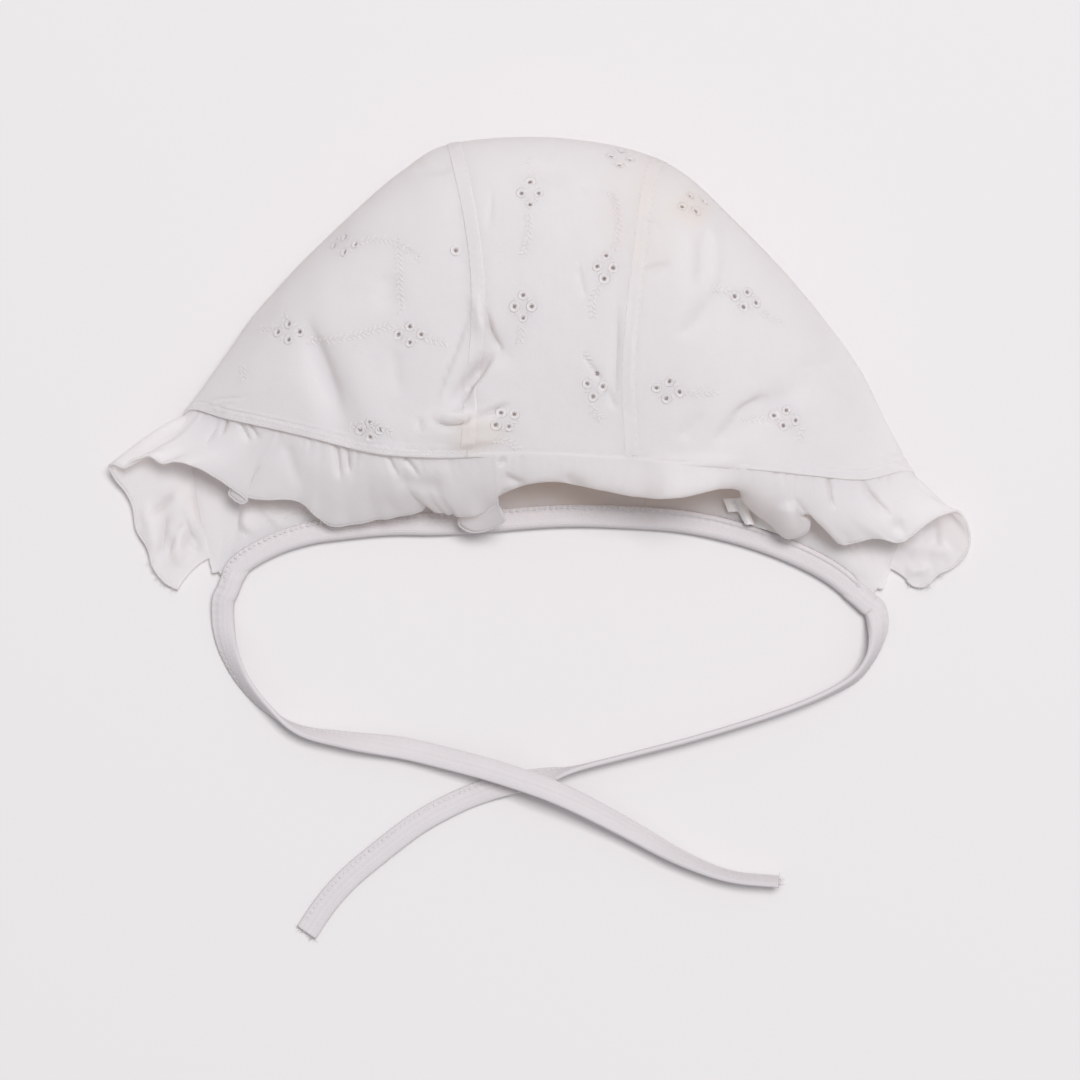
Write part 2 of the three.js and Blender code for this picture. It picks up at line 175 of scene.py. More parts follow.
def cotton(name, light, shade, thread, weave_depth, fuzz_depth, let_through=0, woven_on="UV"):
    """A woven cotton with threads of the given pitch in metres, which lets a share of light through."""
    material, tree, shader = new_finish(name)
    cloth_map = add_node(tree, "TexCoord").outputs[woven_on]
    place = add_node(tree, "TexCoord").outputs["Object"]
    threads = []
    for direction in ("X", "Y"):
        wave = add_node(tree, "TexWave", {"Scale": WAVE_PERIOD / thread, "Distortion": 0.6, "Detail": 1},
                        {"Vector": cloth_map}, bands_direction=direction)
        threads.append(wave.outputs["Fac"])
    weave = add_node(tree, "Math", links={0: threads[0], 1: threads[1]}, operation="MULTIPLY")
    fuzz = add_node(tree, "TexNoise", {"Scale": FUZZ_SCALE, "Detail": 3, "Roughness": 0.6},
                    {"Vector": place})
    tone = add_node(tree, "TexNoise", {"Scale": TONE_SCALE, "Detail": 4, "Roughness": 0.6},
                    {"Vector": place})
    slubs = add_node(tree, "Bump", {"Strength": 1, "Distance": fuzz_depth}, {"Height": fuzz.outputs["Fac"]})
    raised = add_node(tree, "Bump", {"Strength": 1, "Distance": weave_depth},
                      {"Height": weave.outputs[0], "Normal": slubs.outputs["Normal"]})
    rough = add_node(tree, "MapRange", {"To Min": ROUGHNESS[0], "To Max": ROUGHNESS[1]},
                     {"Value": fuzz.outputs["Fac"]})
    tree.links.new(raised.outputs["Normal"], shader.inputs["Normal"])
    tree.links.new(rough.outputs["Result"], shader.inputs["Roughness"])
    colour = blend_colours(tree, tone.outputs["Fac"], light, shade)
    tree.links.new(colour, shader.inputs["Base Color"])
    for socket, value in COTTON_SHEEN.items():
        shader.inputs[socket].default_value = value
    if let_through:
        let_light_through(tree, shader, let_through)
    return material


STAIN_EDGE = 0.3
BLOT_SCALE = 130


def add_stain_and_painted_shade(material, centre, reach, colour, strength):
    """A faint beige patch round a point of the object, for old stains and for painted shade."""
    tree = material.node_tree
    shader = tree.nodes["Principled BSDF"]
    under = shader.inputs["Base Color"].links[0].from_socket
    place = add_node(tree, "TexCoord").outputs["Object"]
    moved = add_node(tree, "Mapping", {"Location": tuple(-c / r for c, r in zip(centre, reach)),
                                       "Scale": tuple(1 / r for r in reach)}, {"Vector": place})
    distance = add_node(tree, "VectorMath", links={0: moved.outputs["Vector"]}, operation="LENGTH")
    near = add_node(tree, "MapRange",
                    {"From Min": STAIN_EDGE, "From Max": 1, "To Min": strength, "To Max": 0},
                    {"Value": distance.outputs["Value"]}, interpolation_type="SMOOTHSTEP")
    blots = add_node(tree, "TexNoise", {"Scale": BLOT_SCALE, "Detail": 3}, {"Vector": place})
    share = add_node(tree, "Math", links={0: near.outputs["Result"], 1: blots.outputs["Fac"]},
                     operation="MULTIPLY")
    tree.links.new(blend_colours(tree, share.outputs[0], under, colour), shader.inputs["Base Color"])


WHITE = (0.945, 0.955, 1)
WHITE_SHADE = (0.915, 0.925, 0.98)
TAPE_WHITE = (0.68, 0.637, 0.648)
TAPE_SHADE = (0.63, 0.587, 0.598)
THREAD_WHITE = (0.84, 0.81, 0.82)
# The next beige paints old stains, and painted shade in the pocket of the left seam.
BEIGE_STAIN_AND_PAINTED_SHADE = (0.9, 0.83, 0.74)
# The next colour is a warm beige painted on the inside lower cloth as painted warm shade.
INNER_PAINTED_WARM_SHADE = (0.93, 0.8, 0.72)

LET_THROUGH = 0.54
# Beige patches: old stains on the upper cloth, painted shade in the pocket at the foot of the left seam,
# and painted warm shade on the inside lower cloth.
STAINS_AND_PAINTED_SHADE = [
    ((0.03, 0.046, 0.03), (0.02, 0.03, 0.05), BEIGE_STAIN_AND_PAINTED_SHADE, 0.32),
    # Painted shade in the pocket at the foot of the left seam, under its fold.
    ((-0.019, -0.019, 0.03), (0.011, 0.008, 0.05), BEIGE_STAIN_AND_PAINTED_SHADE, 0.65),
    ((0.044, 0.048, 0.03), (0.008, 0.008, 0.05), BEIGE_STAIN_AND_PAINTED_SHADE, 0.6),
    # Painted warm shade on the inside lower cloth, seen through the face opening.
    ((0.02, -0.032, 0), (0.075, 0.022, 0.008), INNER_PAINTED_WARM_SHADE, 1.3),
]

eyelet_cotton = cotton("eyelet_cotton", WHITE, WHITE_SHADE, thread=0.00045, weave_depth=0.00003,
                       fuzz_depth=0.00012, let_through=LET_THROUGH, woven_on="Object")
for stain_and_shade_row in STAINS_AND_PAINTED_SHADE:
    add_stain_and_painted_shade(eyelet_cotton, *stain_and_shade_row)
ruffle_cotton = cotton("ruffle_cotton", WHITE, WHITE_SHADE, thread=0.0004, weave_depth=0.00003,
                       fuzz_depth=0.0001, let_through=LET_THROUGH)
binding_tape = cotton("binding_tape", TAPE_WHITE, TAPE_SHADE, thread=0.0005, weave_depth=0.00007,
                      fuzz_depth=0.0001)
thread_cotton = cotton("thread_cotton", THREAD_WHITE, TAPE_WHITE, thread=0.0003, weave_depth=0.00004,
                       fuzz_depth=0.00005)
print("finishes:", ", ".join(m.name for m in bpy.data.materials if m.use_nodes))

# %% [markdown]
# The label is a woven satin ribbon. It is smoother than the cotton and has fine ribs along one way
# only, so a single wave makes its bump, and a lower roughness gives it a soft shine.

# %% Satin for the label
RIB_PITCH = 0.0004
RIB_DEPTH = 0.00002
SATIN_TONE_SCALE = 300
SATIN_ROUGHNESS = 0.38
SATIN_LET_THROUGH = 0.3
SATIN_WHITE = (0.96, 0.95, 0.955)
SATIN_SHADE = (0.92, 0.91, 0.92)


def satin(name, colour, shade):
    material, tree, shader = new_finish(name)
    cloth_map = add_node(tree, "TexCoord").outputs["UV"]
    ribs = add_node(tree, "TexWave", {"Scale": WAVE_PERIOD / RIB_PITCH, "Distortion": 0.3},
                    {"Vector": cloth_map}, bands_direction="X")
    raised = add_node(tree, "Bump", {"Strength": 1, "Distance": RIB_DEPTH}, {"Height": ribs.outputs["Fac"]})
    tree.links.new(raised.outputs["Normal"], shader.inputs["Normal"])
    tone = add_node(tree, "TexNoise", {"Scale": SATIN_TONE_SCALE}, {"Vector": cloth_map})
    tree.links.new(blend_colours(tree, tone.outputs["Fac"], colour, shade), shader.inputs["Base Color"])
    shader.inputs["Roughness"].default_value = SATIN_ROUGHNESS
    let_light_through(tree, shader, SATIN_LET_THROUGH)
    return material


label_satin = satin("label_satin", SATIN_WHITE, SATIN_SHADE)
print("satin for the label is ready")

# %% [markdown]
# ## From a flat grid to cloth
#
# Each piece of cloth starts as a flat grid, one unit wide and one unit long, made by one operator.
# A surface function then says where each point of the grid lies in the hat. This keeps the threads
# straight on the cloth however it folds, because the map of the cloth stays on the flat grid.
# A Solidify modifier gives the sheet its wall at the end.

# %% Helpers for cloth
def unit_grid(steps_u, steps_v):
    bm = bmesh.new()
    bmesh.ops.create_grid(bm, x_segments=steps_u, y_segments=steps_v, size=0.5)
    bmesh.ops.translate(bm, verts=bm.verts, vec=(0.5, 0.5, 0))
    return bm


def grid_places(bm):
    spots = np.array([vert.co for vert in bm.verts])
    return spots[:, 0], spots[:, 1]


def lay(bm, spots, flat):
    """Moves each vertex to its spot in millimetres and keeps the flat cloth as its map in metres."""
    bm.verts.index_update()
    cloth_map = bm.loops.layers.uv.new("cloth")
    flat = flat * MM
    for face in bm.faces:
        for loop in face.loops:
            loop[cloth_map].uv = flat[loop.vert.index]
    for vert, spot in zip(bm.verts, spots * MM):
        vert.co = spot


def dress(name, mesh, material):
    """Puts a finished mesh into the scene, on the hat's one body."""
    mesh.materials.append(material)
    mesh.shade_smooth()
    piece = bpy.data.objects.new(name, mesh)
    bpy.context.scene.collection.objects.link(piece)
    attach(piece, "root")
    return piece


def piece_of(name, bm, material, replaced=(), wall=0, offset=0):
    mesh = bpy.data.meshes.new(name)
    bm.to_mesh(mesh)
    bm.free()
    piece = dress(name, mesh, material)
    if wall:
        solid = piece.modifiers.new("wall", "SOLIDIFY")
        solid.thickness = wall * MM
        solid.offset = offset
    if replaced:
        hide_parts(*replaced)
    area = sum(face.area for face in mesh.polygons)
    print(f"{name}: {len(mesh.polygons)} faces, {area * 1e4:.1f} square centimetres")
    return piece


def walk(line):
    """Length walked along a line of spots, from its first spot to each of them."""
    return np.concatenate([[0], np.cumsum(np.linalg.norm(np.diff(line, axis=0), axis=1))])


def even_places(surface, first, last, samples=400):
    """Places along a piece, evenly spaced by the length of its cloth, for shares from 0 to 1."""
    places = np.linspace(first, last, samples)
    walked = walk(surface(places))
    return lambda share: np.interp(share, walked / walked[-1], places), walked[-1]


PIECE_MERGE = 1e-6
TEMPLATE_MERGE = 1e-4


def close_sleeve(bm, merge=PIECE_MERGE):
    """Merges the edges of a wrapped grid, caps its open ends and turns its faces outwards."""
    bmesh.ops.remove_doubles(bm, verts=bm.verts, dist=merge)
    bmesh.ops.holes_fill(bm, edges=[edge for edge in bm.edges if edge.is_boundary])
    bmesh.ops.recalc_face_normals(bm, faces=bm.faces)
    bm.verts.index_update()


print("cloth helpers are ready")

# %% [markdown]
# ## The ties
#
# Each tie is the binding tape folded shut and sewn along one edge. It is a limp, flat cord that
# lies on the surface and turns over about its own length as it goes round. The route is a short
# list of points with the roll of the tape at each of them. A closed sleeve is wrapped round that
# line: the grid's short side runs round the section, and its two long edges are merged. On the hat
# the tie is the same tape that binds the nape, so the sleeve starts a little way inside the binding
# and is as thick as it there. Then no joint shows at the corner.

# %% Routes of the two ties
TIE_WIDTH = 6.8
TIE_WALL = 1.8
ROUTE = ("x", "y", "roll", "lift")
LEFT_ROUTE = table(ROUTE, [
    (-90.1, -57.0, 0, 1.0),
    (-91.9, -60.3, 0, 1.0),
    (-93.4, -64.1, 0, 1.0),
    (-94.8, -67.0, 3, 0.9),
    (-95.0, -71.5, 8, 0.3),
    (-94.5, -76.5, 18, 0),
    (-92.9, -83.0, 38, 0),
    (-88.9, -91.0, 56, 0),
    (-81.7, -99.4, 72, 0),
    (-72.0, -106.0, 104, 0),
    (-58.2, -109.0, 130, 0.3),
    (-42.0, -111.4, 158, 1.0),
    (-27.0, -114.6, 166, 3.0),
    (-12.0, -118.7, 170, 5.4),
    (1.5, -123.0, 166, 7.2),
    (15.0, -129.4, 153, 4.4),
    (30.0, -137.6, 139, 1.2),
    (45.0, -145.6, 120, 0.2),
    (57.0, -149.8, 110, 0),
    (71.3, -151.4, 109, 0),
])
RIGHT_ROUTE = table(ROUTE, [
    (92.8, -63.4, 0, 1.0),
    (95.7, -65.9, 0, 1.0),
    (98.6, -68.5, 0, 1.0),
    (100.2, -69.9, -6, 0.9),
    (101.1, -74.2, -28, 0.4),
    (100.6, -79.6, -54, 0),
    (98.4, -85.2, -68, 0),
    (93.6, -90.8, -73, 0),
    (83.5, -96.2, -80, 0),
    (68.8, -101.7, -84, 0),
    (47.8, -108.2, -84, 0),
    (30.0, -112.9, -84, 0),
    (15.0, -116.6, -87, 0),
    (8.0, -118.3, -98, 0),
    (1.5, -119.9, -128, 0),
    (-15.2, -123.9, -176, 0),
    (-30.5, -130.4, -176, 0),
    (-42.7, -138.6, -176, 0),
    (-54.7, -148.1, -178, 0),
    (-64.0, -158.1, -180, 0),
    (-70.1, -166.8, -180, 0),
])
NUDGE = 0.02
FLOOR_CLEAR = 0.02


def tie_frame(route, along):
    """Middle of the tie, its heading, the direction across the tape and the one out of its face."""
    last = len(route["x"]) - 1

    def at(name, places):
        return column(route, name, np.clip(places, 0, last))

    ahead = np.stack([at(c, along + NUDGE) - at(c, along - NUDGE) for c in "xy"] + [0 * along], -1)
    ahead = unit(ahead)
    roll = np.radians(at("roll", along))
    rest = TIE_WIDTH / 2 * np.abs(np.sin(roll)) + TIE_WALL / 2 * np.abs(np.cos(roll))
    middle = np.stack([at("x", along), at("y", along), rest + np.maximum(at("lift", along), 0)], -1)
    level = np.stack([-ahead[:, 1], ahead[:, 0], 0 * along], -1)
    upright = np.array([0, 0, 1.0])
    across = level * np.cos(roll)[:, None] + upright * np.sin(roll)[:, None]
    out = upright * np.cos(roll)[:, None] - level * np.sin(roll)[:, None]
    return middle, ahead, across, out


print("points on the ties:", len(LEFT_ROUTE["x"]), "and", len(RIGHT_ROUTE["x"]))

# %% Sleeves of folded tape
SECTION_POWER = 0.55
SEW_LINE = 2.1
SEW_DIP = 0.25
COLLAR_WALL = 4.2
COLLAR_RUNS = (0, 4, 9, 24)
COLLAR_SHARES = (0.5, 1, 1, 0)
TIE_STEPS = (320, 32)
SEW_WIDE = 0.55
TIE_PUCKER = 0.10
TIE_PUCKER_PITCH = 2.3
TIE_PUCKER_WIDE = 1.2
TIE_PUCKER_DRIFT = 9
TIE_SWAY = 0.25
TIE_SWAY_LONG = 14
PATH_POINTS = 120


def tape_section(turn, sewn_side):
    """Side and height of the folded tape's outline, thinner along the sewn line."""
    side = TIE_WIDTH / 2 * np.sign(np.cos(turn)) * np.abs(np.cos(turn)) ** SECTION_POWER
    height = TIE_WALL / 2 * np.sign(np.sin(turn)) * np.abs(np.sin(turn)) ** SECTION_POWER
    dip = SEW_DIP * np.exp(-((side - sewn_side * SEW_LINE) / SEW_WIDE) ** 2)
    return side, height * (1 - dip)


def tie_piece(name, route, sewn_side, node):
    bm = unit_grid(*TIE_STEPS)
    u, w = grid_places(bm)
    places, length = even_places(lambda a: tie_frame(route, a)[0], 0, len(route["x"]) - 1)
    middle, _, across, out = tie_frame(route, places(u))
    side, height = tape_section(2 * math.pi * w, sewn_side)
    run = u * length
    collar = np.interp(run, COLLAR_RUNS, COLLAR_SHARES)
    height = height * (1 + collar * (COLLAR_WALL / TIE_WALL - 1))
    drift = 2 * speckle(run, 0 * run, TIE_PUCKER_DRIFT, seed=3)
    pucker = TIE_PUCKER * np.sin(2 * math.pi * run / TIE_PUCKER_PITCH + drift)
    height = height * (1 + pucker * np.exp(-((side - sewn_side * SEW_LINE) / TIE_PUCKER_WIDE) ** 2))
    sway = TIE_SWAY * speckle(run, 0 * run, TIE_SWAY_LONG, seed=8)
    spots = middle + across * (side + sway)[:, None] + out * height[:, None]
    spots[:, 2] = np.maximum(spots[:, 2], FLOOR_CLEAR)
    lay(bm, spots, np.stack([run, w * 2 * TIE_WIDTH], -1))
    close_sleeve(bm)
    piece = piece_of(name, bm, binding_tape, [node])
    line = tie_frame(route, places(np.linspace(0, 1, PATH_POINTS)))[0] * MM
    print(f"{name}: {length:.1f} mm long")
    return piece, line


tie_left, left_line = tie_piece("tie_left_tape", LEFT_ROUTE, -1, "tie_left")
tie_right, right_line = tie_piece("tie_right_tape", RIGHT_ROUTE, 1, "tie_right")

# %% [markdown]
# ## The crown's form
#
# The crown lies folded flat. Its sections are ribs: each one starts on the face edge, runs up the
# upper cloth to the fold at the rim, turns under and comes back to the nape edge. A long soft dent
# is a hill with a heading. These are the same rows as in the solids, so the cloth fits them. Only
# the roll to the fold differs: it starts more gently than a circle does, because cloth has no sudden
# bend, and it fades out in the two corners, where a single layer lies flat.

# %% Ribs and soft dents of the crown
CLOTH = 1.2
ROLL_REACH = 30
UNDER_REACH = 12
UNDER_MOST = 0.5
ROLL_FROM = 0.32
FOLD_AT = 0.5
FLAT_FROM = 0.6
BAND_FLAT = 7
BAND_RAMP = 16
BAND_MID = 1.9
DENT_FULL = 20
ROLL_POWER = 2.4
RIBS = table(
    ("faceX", "faceY", "rise", "foldX", "foldY", "nose", "napeX", "napeY", "swell", "sway"),
    [
        (-97.8, -59.2, 0.0, -96.2, -58.8, 0.0, -92.3, -64.1, 0, 0),
        (-103.0, -41.4, 0.3, -94.0, -38.4, 0.2, -89.3, -57.8, 0, 0),
        (-105.0, -24.9, 1.5, -91.0, -6.4, 1.0, -80.0, -52.1, 0, 0),
        (-105.3, -11.0, 6.0, -90.3, 9.6, 5.0, -69.0, -48.5, 1, 0),
        (-91.5, -13.6, 14.0, -75.3, 28.4, 6.0, -57.0, -46.8, 3, 0),
        (-71.0, -18.2, 21.0, -56.0, 47.2, 7.0, -44.5, -45.7, 5, 0),
        (-50.0, -23.5, 25.0, -40.7, 60.3, 7.5, -32.0, -45.7, 6, 4),
        (-30.5, -25.2, 28.0, -25.6, 68.3, 8.0, -19.0, -45.1, 6, 9),
        (6.0, -25.0, 29.0, 6.0, 69.8, 8.0, 7.0, -43.2, 7, 0),
        (60.0, -28.6, 28.0, 36.3, 63.0, 8.0, 31.0, -43.9, 6, -6),
        (78.0, -30.2, 22.0, 58.3, 45.0, 7.0, 45.8, -45.4, 5, -2),
        (95.3, -31.4, 14.5, 82.3, 19.0, 6.0, 60.5, -48.8, 3, 0),
        (110.6, -29.2, 6.5, 98.4, -5.6, 5.0, 74.0, -53.6, 1, 0),
        (110.5, -43.0, 1.5, 93.0, -20.4, 1.0, 86.5, -60.0, 0, 0),
        (102.8, -64.0, 0.0, 101.0, -63.8, 0.0, 97.6, -69.0, 0, 0),
    ],
)
LAST_RIB = len(RIBS["rise"]) - 1
SEAMS = table(("left", "right"), [(7.3, 8.38), (7.13, 8.45), (7.04, 8.6), (7.0, 8.78), (7.0, 9.0)])
CORNERS = (2.0, 4.2, 10.2, 12.4)
DENTS = [
    (-61.5, -4.2, -69, 15, 5, -2.2),
    (-52.5, -6.0, -69, 15, 6, 1.2),
    (-18.0, -2.0, 55, 13, 4, -2.6),
    (-22.0, -15.8, 5, 11, 4, 2.4),
    (43.0, 26.5, 84, 19, 7, 2.2),
    (51.5, 26.5, 84, 18, 4, -1.6),
    (64.5, -12.0, 35, 16, 4, -2.0),
    (-22.5, 44.0, -86, 26, 4, -0.9),
]


def dent_height(x, y):
    height = np.zeros_like(x)
    for middle_x, middle_y, heading, long, wide, high in DENTS:
        turn = math.radians(heading)
        along = (x - middle_x) * math.cos(turn) + (y - middle_y) * math.sin(turn)
        across = (y - middle_y) * math.cos(turn) - (x - middle_x) * math.sin(turn)
        height += high * np.exp(-((along / long) ** 2) - (across / wide) ** 2)
    return height


def seam_at(side, v):
    """Place of a seam in ribs: it leaves its rib on the way from the fold to the face edge."""
    last = len(SEAMS[side]) - 1
    return column(SEAMS, side, last * np.minimum(np.asarray(v, float) / FOLD_AT, 1))


def nape_lift(to_nape, height):
    rise = BAND_MID - CLOTH / 2
    return np.maximum(rise - height, 0) * (1 - smooth(BAND_FLAT, BAND_RAMP, to_nape))


def crown(place, v):
    """Middle of the crown's cloth: place counts ribs, v runs from the face edge to the nape edge."""
    place, v = np.broadcast_arrays(np.asarray(place, float), np.asarray(v, float))
    rib = {name: column(RIBS, name, place) for name in RIBS}
    face, fold, nape = (np.stack([rib[end + "X"], rib[end + "Y"]], -1) for end in ("face", "fold", "nape"))
    nose = np.maximum(rib["nose"], 0)
    length = np.linalg.norm(fold - face, axis=-1)
    roll_from = np.maximum(1 - ROLL_REACH / length, ROLL_FROM)
    turn = math.pi / 2 * np.clip((v - ROLL_FROM) / (FOLD_AT - ROLL_FROM), 0, 1)
    share = roll_from * np.minimum(v / ROLL_FROM, 1) + (1 - roll_from) * np.sin(turn)
    over = face + (fold - face) * share[..., None]
    over[..., 0] += rib["sway"] * np.sin(math.pi * share)
    top = np.maximum(rib["rise"], 0) + np.maximum(rib["swell"], 0) * np.sin(math.pi * share)
    dent = dent_height(over[..., 0], over[..., 1]) * smooth(0, DENT_FULL, top)
    fall = np.maximum(1 - np.sin(turn) ** ROLL_POWER, 0) ** (1 / ROLL_POWER)
    in_corner = 1 - smooth(CORNERS[0], CORNERS[1], place) * (1 - smooth(CORNERS[2], CORNERS[3], place))
    fall = fall + (1 - smooth(0, FOLD_AT, v) - fall) * in_corner
    over_height = nose + (top + dent - nose) * fall
    under_share = np.minimum(UNDER_REACH / np.linalg.norm(nape - fold, axis=-1), UNDER_MOST)
    turn = math.pi / 2 * np.clip((v - FOLD_AT) / (FLAT_FROM - FOLD_AT), 0, 1)
    flat = np.maximum((v - FLAT_FROM) / (1 - FLAT_FROM), 0)
    share = under_share * (1 - np.cos(turn)) + (1 - under_share) * flat
    under = fold + (nape - fold) * share[..., None]
    upper = v <= FOLD_AT
    plan = np.where(upper[..., None], over, under)
    height = np.where(upper, over_height, nose * (1 - np.sin(turn)))
    to_nape = np.linalg.norm(plan - nape, axis=-1)
    return np.concatenate([plan, (CLOTH / 2 + height + nape_lift(to_nape, height))[..., None]], -1)


def crown_out(place, v):
    """Direction out of the crown's cloth."""
    step_place, step_v = 0.01, 0.002
    along = crown(np.minimum(place + step_place, LAST_RIB), v)
    along = along - crown(np.maximum(place - step_place, 0), v)
    across = crown(place, np.minimum(v + step_v, 1)) - crown(place, np.maximum(v - step_v, 0))
    return unit(np.cross(along, across))


print("crown ribs:", LAST_RIB + 1)

# %% [markdown]
# ## Creases
#
# A crease is a short bent line with a height, and with one width on each of its sides. A narrow
# side looks like a sharp lip and a wide one like a slope, so one small rule gives folds, hollows
# and rolls. The rows are read from left to right over the upper cloth, then over the lower cloth.

# %% Creases of the crown's cloth
TOP_CREASES = [
    (-70.0, 18.8, -63.0, 3.6, -57.0, -15.5, -0.9, 2.0, 4.0),
    (-37.7, 59.2, -30.9, 58.6, -25.0, 59.2, -0.5, 1.0, 1.0),
    (-43.7, 30.0, -44.3, 23.6, -43.1, 16.6, -0.6, 4.0, 4.0),
    (-104.1, -8.1, -94.6, -7.2, -84.8, -6.9, -0.25, 0.6, 0.6),
    (-102.7, -9.9, -95.8, -9.0, -89.3, -8.7, -0.25, 0.6, 0.6),
    (-42.9, 8.3, -42.0, 0.4, -41.4, -8.1, -0.4, 2.0, 2.0),
    (-35.6, -12.7, -35.1, -15.6, -34.8, -18.2, -0.5, 1.0, 1.0),
    (-18.6, 24.6, -17.6, 17.1, -15.6, 8.0, 0.7, 0.9, 2.4),
    (-16.0, 19.5, -14.4, 9.0, -10.2, 5.0, -1.3, 1.0, 0.8),
    (-10.6, 5.6, -15.5, -2.0, -22.4, -9.8, 1.2, 3.2, 1.4),
    (-12.6, 4.4, -18.5, -3.5, -26.2, -11.0, -1.3, 1.3, 3.2),
    (-19.6, 20.0, -25.2, 2.0, -32.6, -13.8, -0.7, 0.5, 0.8),
    (-33.0, -13.2, -25.5, -18.8, -18.6, -12.2, -1.6, 0.9, 0.8),
    (-21.0, -13.8, -15.0, -11.8, -8.0, -9.4, -1.0, 0.8, 0.9),
    (-31.0, -11.8, -25.0, -15.6, -19.5, -10.8, 0.7, 1.4, 0.8),
    (-28.5, -20.8, -19.0, -20.3, -10.0, -18.4, 0.6, 1.8, 1.8),
    (-6.2, 60.0, 1.5, 59.1, 9.7, 55.0, -0.6, 2.0, 3.0),
    (8.5, 53.8, 17.5, 54.7, 22.5, 48.0, -0.5, 1.2, 2.0),
    (-14.0, 54.2, -14.5, 46.8, -14.9, 39.4, -0.4, 1.0, 1.0),
    (10.6, 32.3, 12.0, 26.2, 13.3, 19.8, -0.5, 1.0, 1.3),
    (29.6, 44.6, 33.0, 43.4, 36.4, 41.2, -0.5, 0.9, 0.9),
    (22.4, 24.9, 22.7, 6.0, 21.5, -11.4, -0.5, 0.8, 1.8),
    (26.1, 20.5, 26.7, 3.1, 25.6, -14.3, 0.4, 2.5, 2.5),
    (29.1, 28.5, 33.5, 30.0, 38.4, 31.7, -0.7, 0.9, 1.2),
    (49.3, 43.5, 50.4, 33.0, 48.4, 20.2, 0.7, 5.0, 1.4),
    (48.1, 43.5, 49.0, 33.0, 46.9, 20.2, -1.1, 1.2, 4.0),
    (48.2, 22.6, 47.4, 11.0, 37.0, 9.4, -0.8, 1.8, 3.0),
    (11.6, 6.0, 15.1, 0.8, 19.2, -5.1, -0.5, 1.0, 1.0),
    (19.2, -4.7, 20.6, -7.9, 22.1, -11.7, -0.4, 1.0, 1.0),
    (55.3, -14.4, 59.7, -9.7, 67.9, -6.8, -0.9, 1.5, 2.5),
    (40.3, -21.2, 43.8, -16.5, 47.9, -11.5, -0.6, 2.0, 2.0),
    (51.5, -21.7, 54.1, -16.7, 58.2, -11.8, -0.6, 1.8, 2.2),
    (73.0, 0.3, 80.1, 2.1, 89.8, 3.2, -0.2, 1.5, 1.5),
    (100.6, -23.9, 107.1, -24.2, 114.9, -25.1, -0.25, 0.7, 0.7),
    (102.4, -26.0, 107.7, -26.6, 113.7, -27.5, -0.25, 0.7, 0.7),
    (29.2, -27.0, 43.8, -27.6, 60.8, -25.8, 0.9, 2.0, 1.5),
]
LOW_CREASES = [
    (-98.5, -34.5, -91.3, -42.0, -83.5, -48.0, 1.6, 4.5, 1.6),
    (-104.0, -36.0, -99.5, -46.0, -92.5, -53.5, 0.9, 1.6, 3.0),
    (-84.0, -38.0, -81.0, -42.4, -75.5, -46.0, 0.5, 2.0, 1.2),
    (97.6, -51.6, 97.3, -55.2, 96.4, -58.5, 0.5, 1.5, 1.5),
]
CREASE_SAMPLES = 25
CREASE_FADE = 0.35
CREASE_GAIN = 1.7
CREASE_REACH = 3
CLOTH_REST = 0.45
CRUMPLE_HIGH = 0.045
CRUMPLE_SIZE = 2.8


def bent_line(corners, t):
    """A line from the first corner to the last, bent towards the middle one, and its heading."""
    start, middle, end = np.reshape(corners, (3, 2))
    line = start * (1 - t) ** 2 + middle * 2 * t * (1 - t) + end * t * t
    return line, 2 * ((middle - start) * (1 - t) + (end - middle) * t)


def crease_height(x, y, creases):
    height = np.zeros_like(x)
    t = np.linspace(0, 1, CREASE_SAMPLES)[:, None]
    spots = np.stack([x, y], -1)
    for *corners, high, left, right in creases:
        line, heading = bent_line(corners, t)
        reach = CREASE_REACH * max(left, right)
        near = np.all((spots > line.min(0) - reach) & (spots < line.max(0) + reach), axis=1)
        if not near.any():
            continue
        away = spots[near][:, None] - line
        nearest = np.argmin((away ** 2).sum(-1), axis=1)
        off = away[np.arange(len(nearest)), nearest]
        run = heading[nearest]
        share = t[nearest, 0] + (off * run).sum(-1) / (run ** 2).sum(-1)
        side = (run[:, 0] * off[:, 1] - run[:, 1] * off[:, 0]) / np.linalg.norm(run, axis=1)
        wide = np.where(side > 0, left, right)
        fade = smooth(0, CREASE_FADE, share) * smooth(0, CREASE_FADE, 1 - share)
        height[near] += CREASE_GAIN * high * fade * np.exp(-((side / wide) ** 2))
    return height


OVER_FADE = (0.42, 0.5)
UNDER_FADE = (0.62, 0.8)
RIPPLE_HEIGHTS = (2, 9)
RIPPLES = [(0.35, 17, 1), (0.12, 6, 2), (CRUMPLE_HIGH, CRUMPLE_SIZE, 9)]
LOW_RIPPLE = 0.35
LOW_RIPPLE_SIZE = 13


def crown_relief(spots, v):
    """How far the cloth stands off the plain form: creases, and the ripples of worn cotton."""
    x, y = spots[:, 0], spots[:, 1]
    over = 1 - smooth(*OVER_FADE, v)
    under = smooth(*UNDER_FADE, v)
    ripple = sum(high * speckle(x, y, size, seed) for high, size, seed in RIPPLES)
    ripple *= smooth(*RIPPLE_HEIGHTS, spots[:, 2])
    low_ripple = LOW_RIPPLE * (1 + speckle(x, y, LOW_RIPPLE_SIZE, seed=4))
    return over * (crease_height(x, y, TOP_CREASES) + ripple) - under * (
        crease_height(x, y, LOW_CREASES) + low_ripple
    )


def crown_cloth(place, v):
    place, v = (np.ravel(a) for a in np.broadcast_arrays(np.asarray(place, float), np.asarray(v, float)))
    spots = crown(place, v)
    out = crown_out(place, v)
    spots = spots + out * crown_relief(spots, v)[:, None]
    spots[:, 2] = np.maximum(spots[:, 2], CLOTH_REST)
    return spots, out


print("creases:", len(TOP_CREASES) + len(LOW_CREASES))

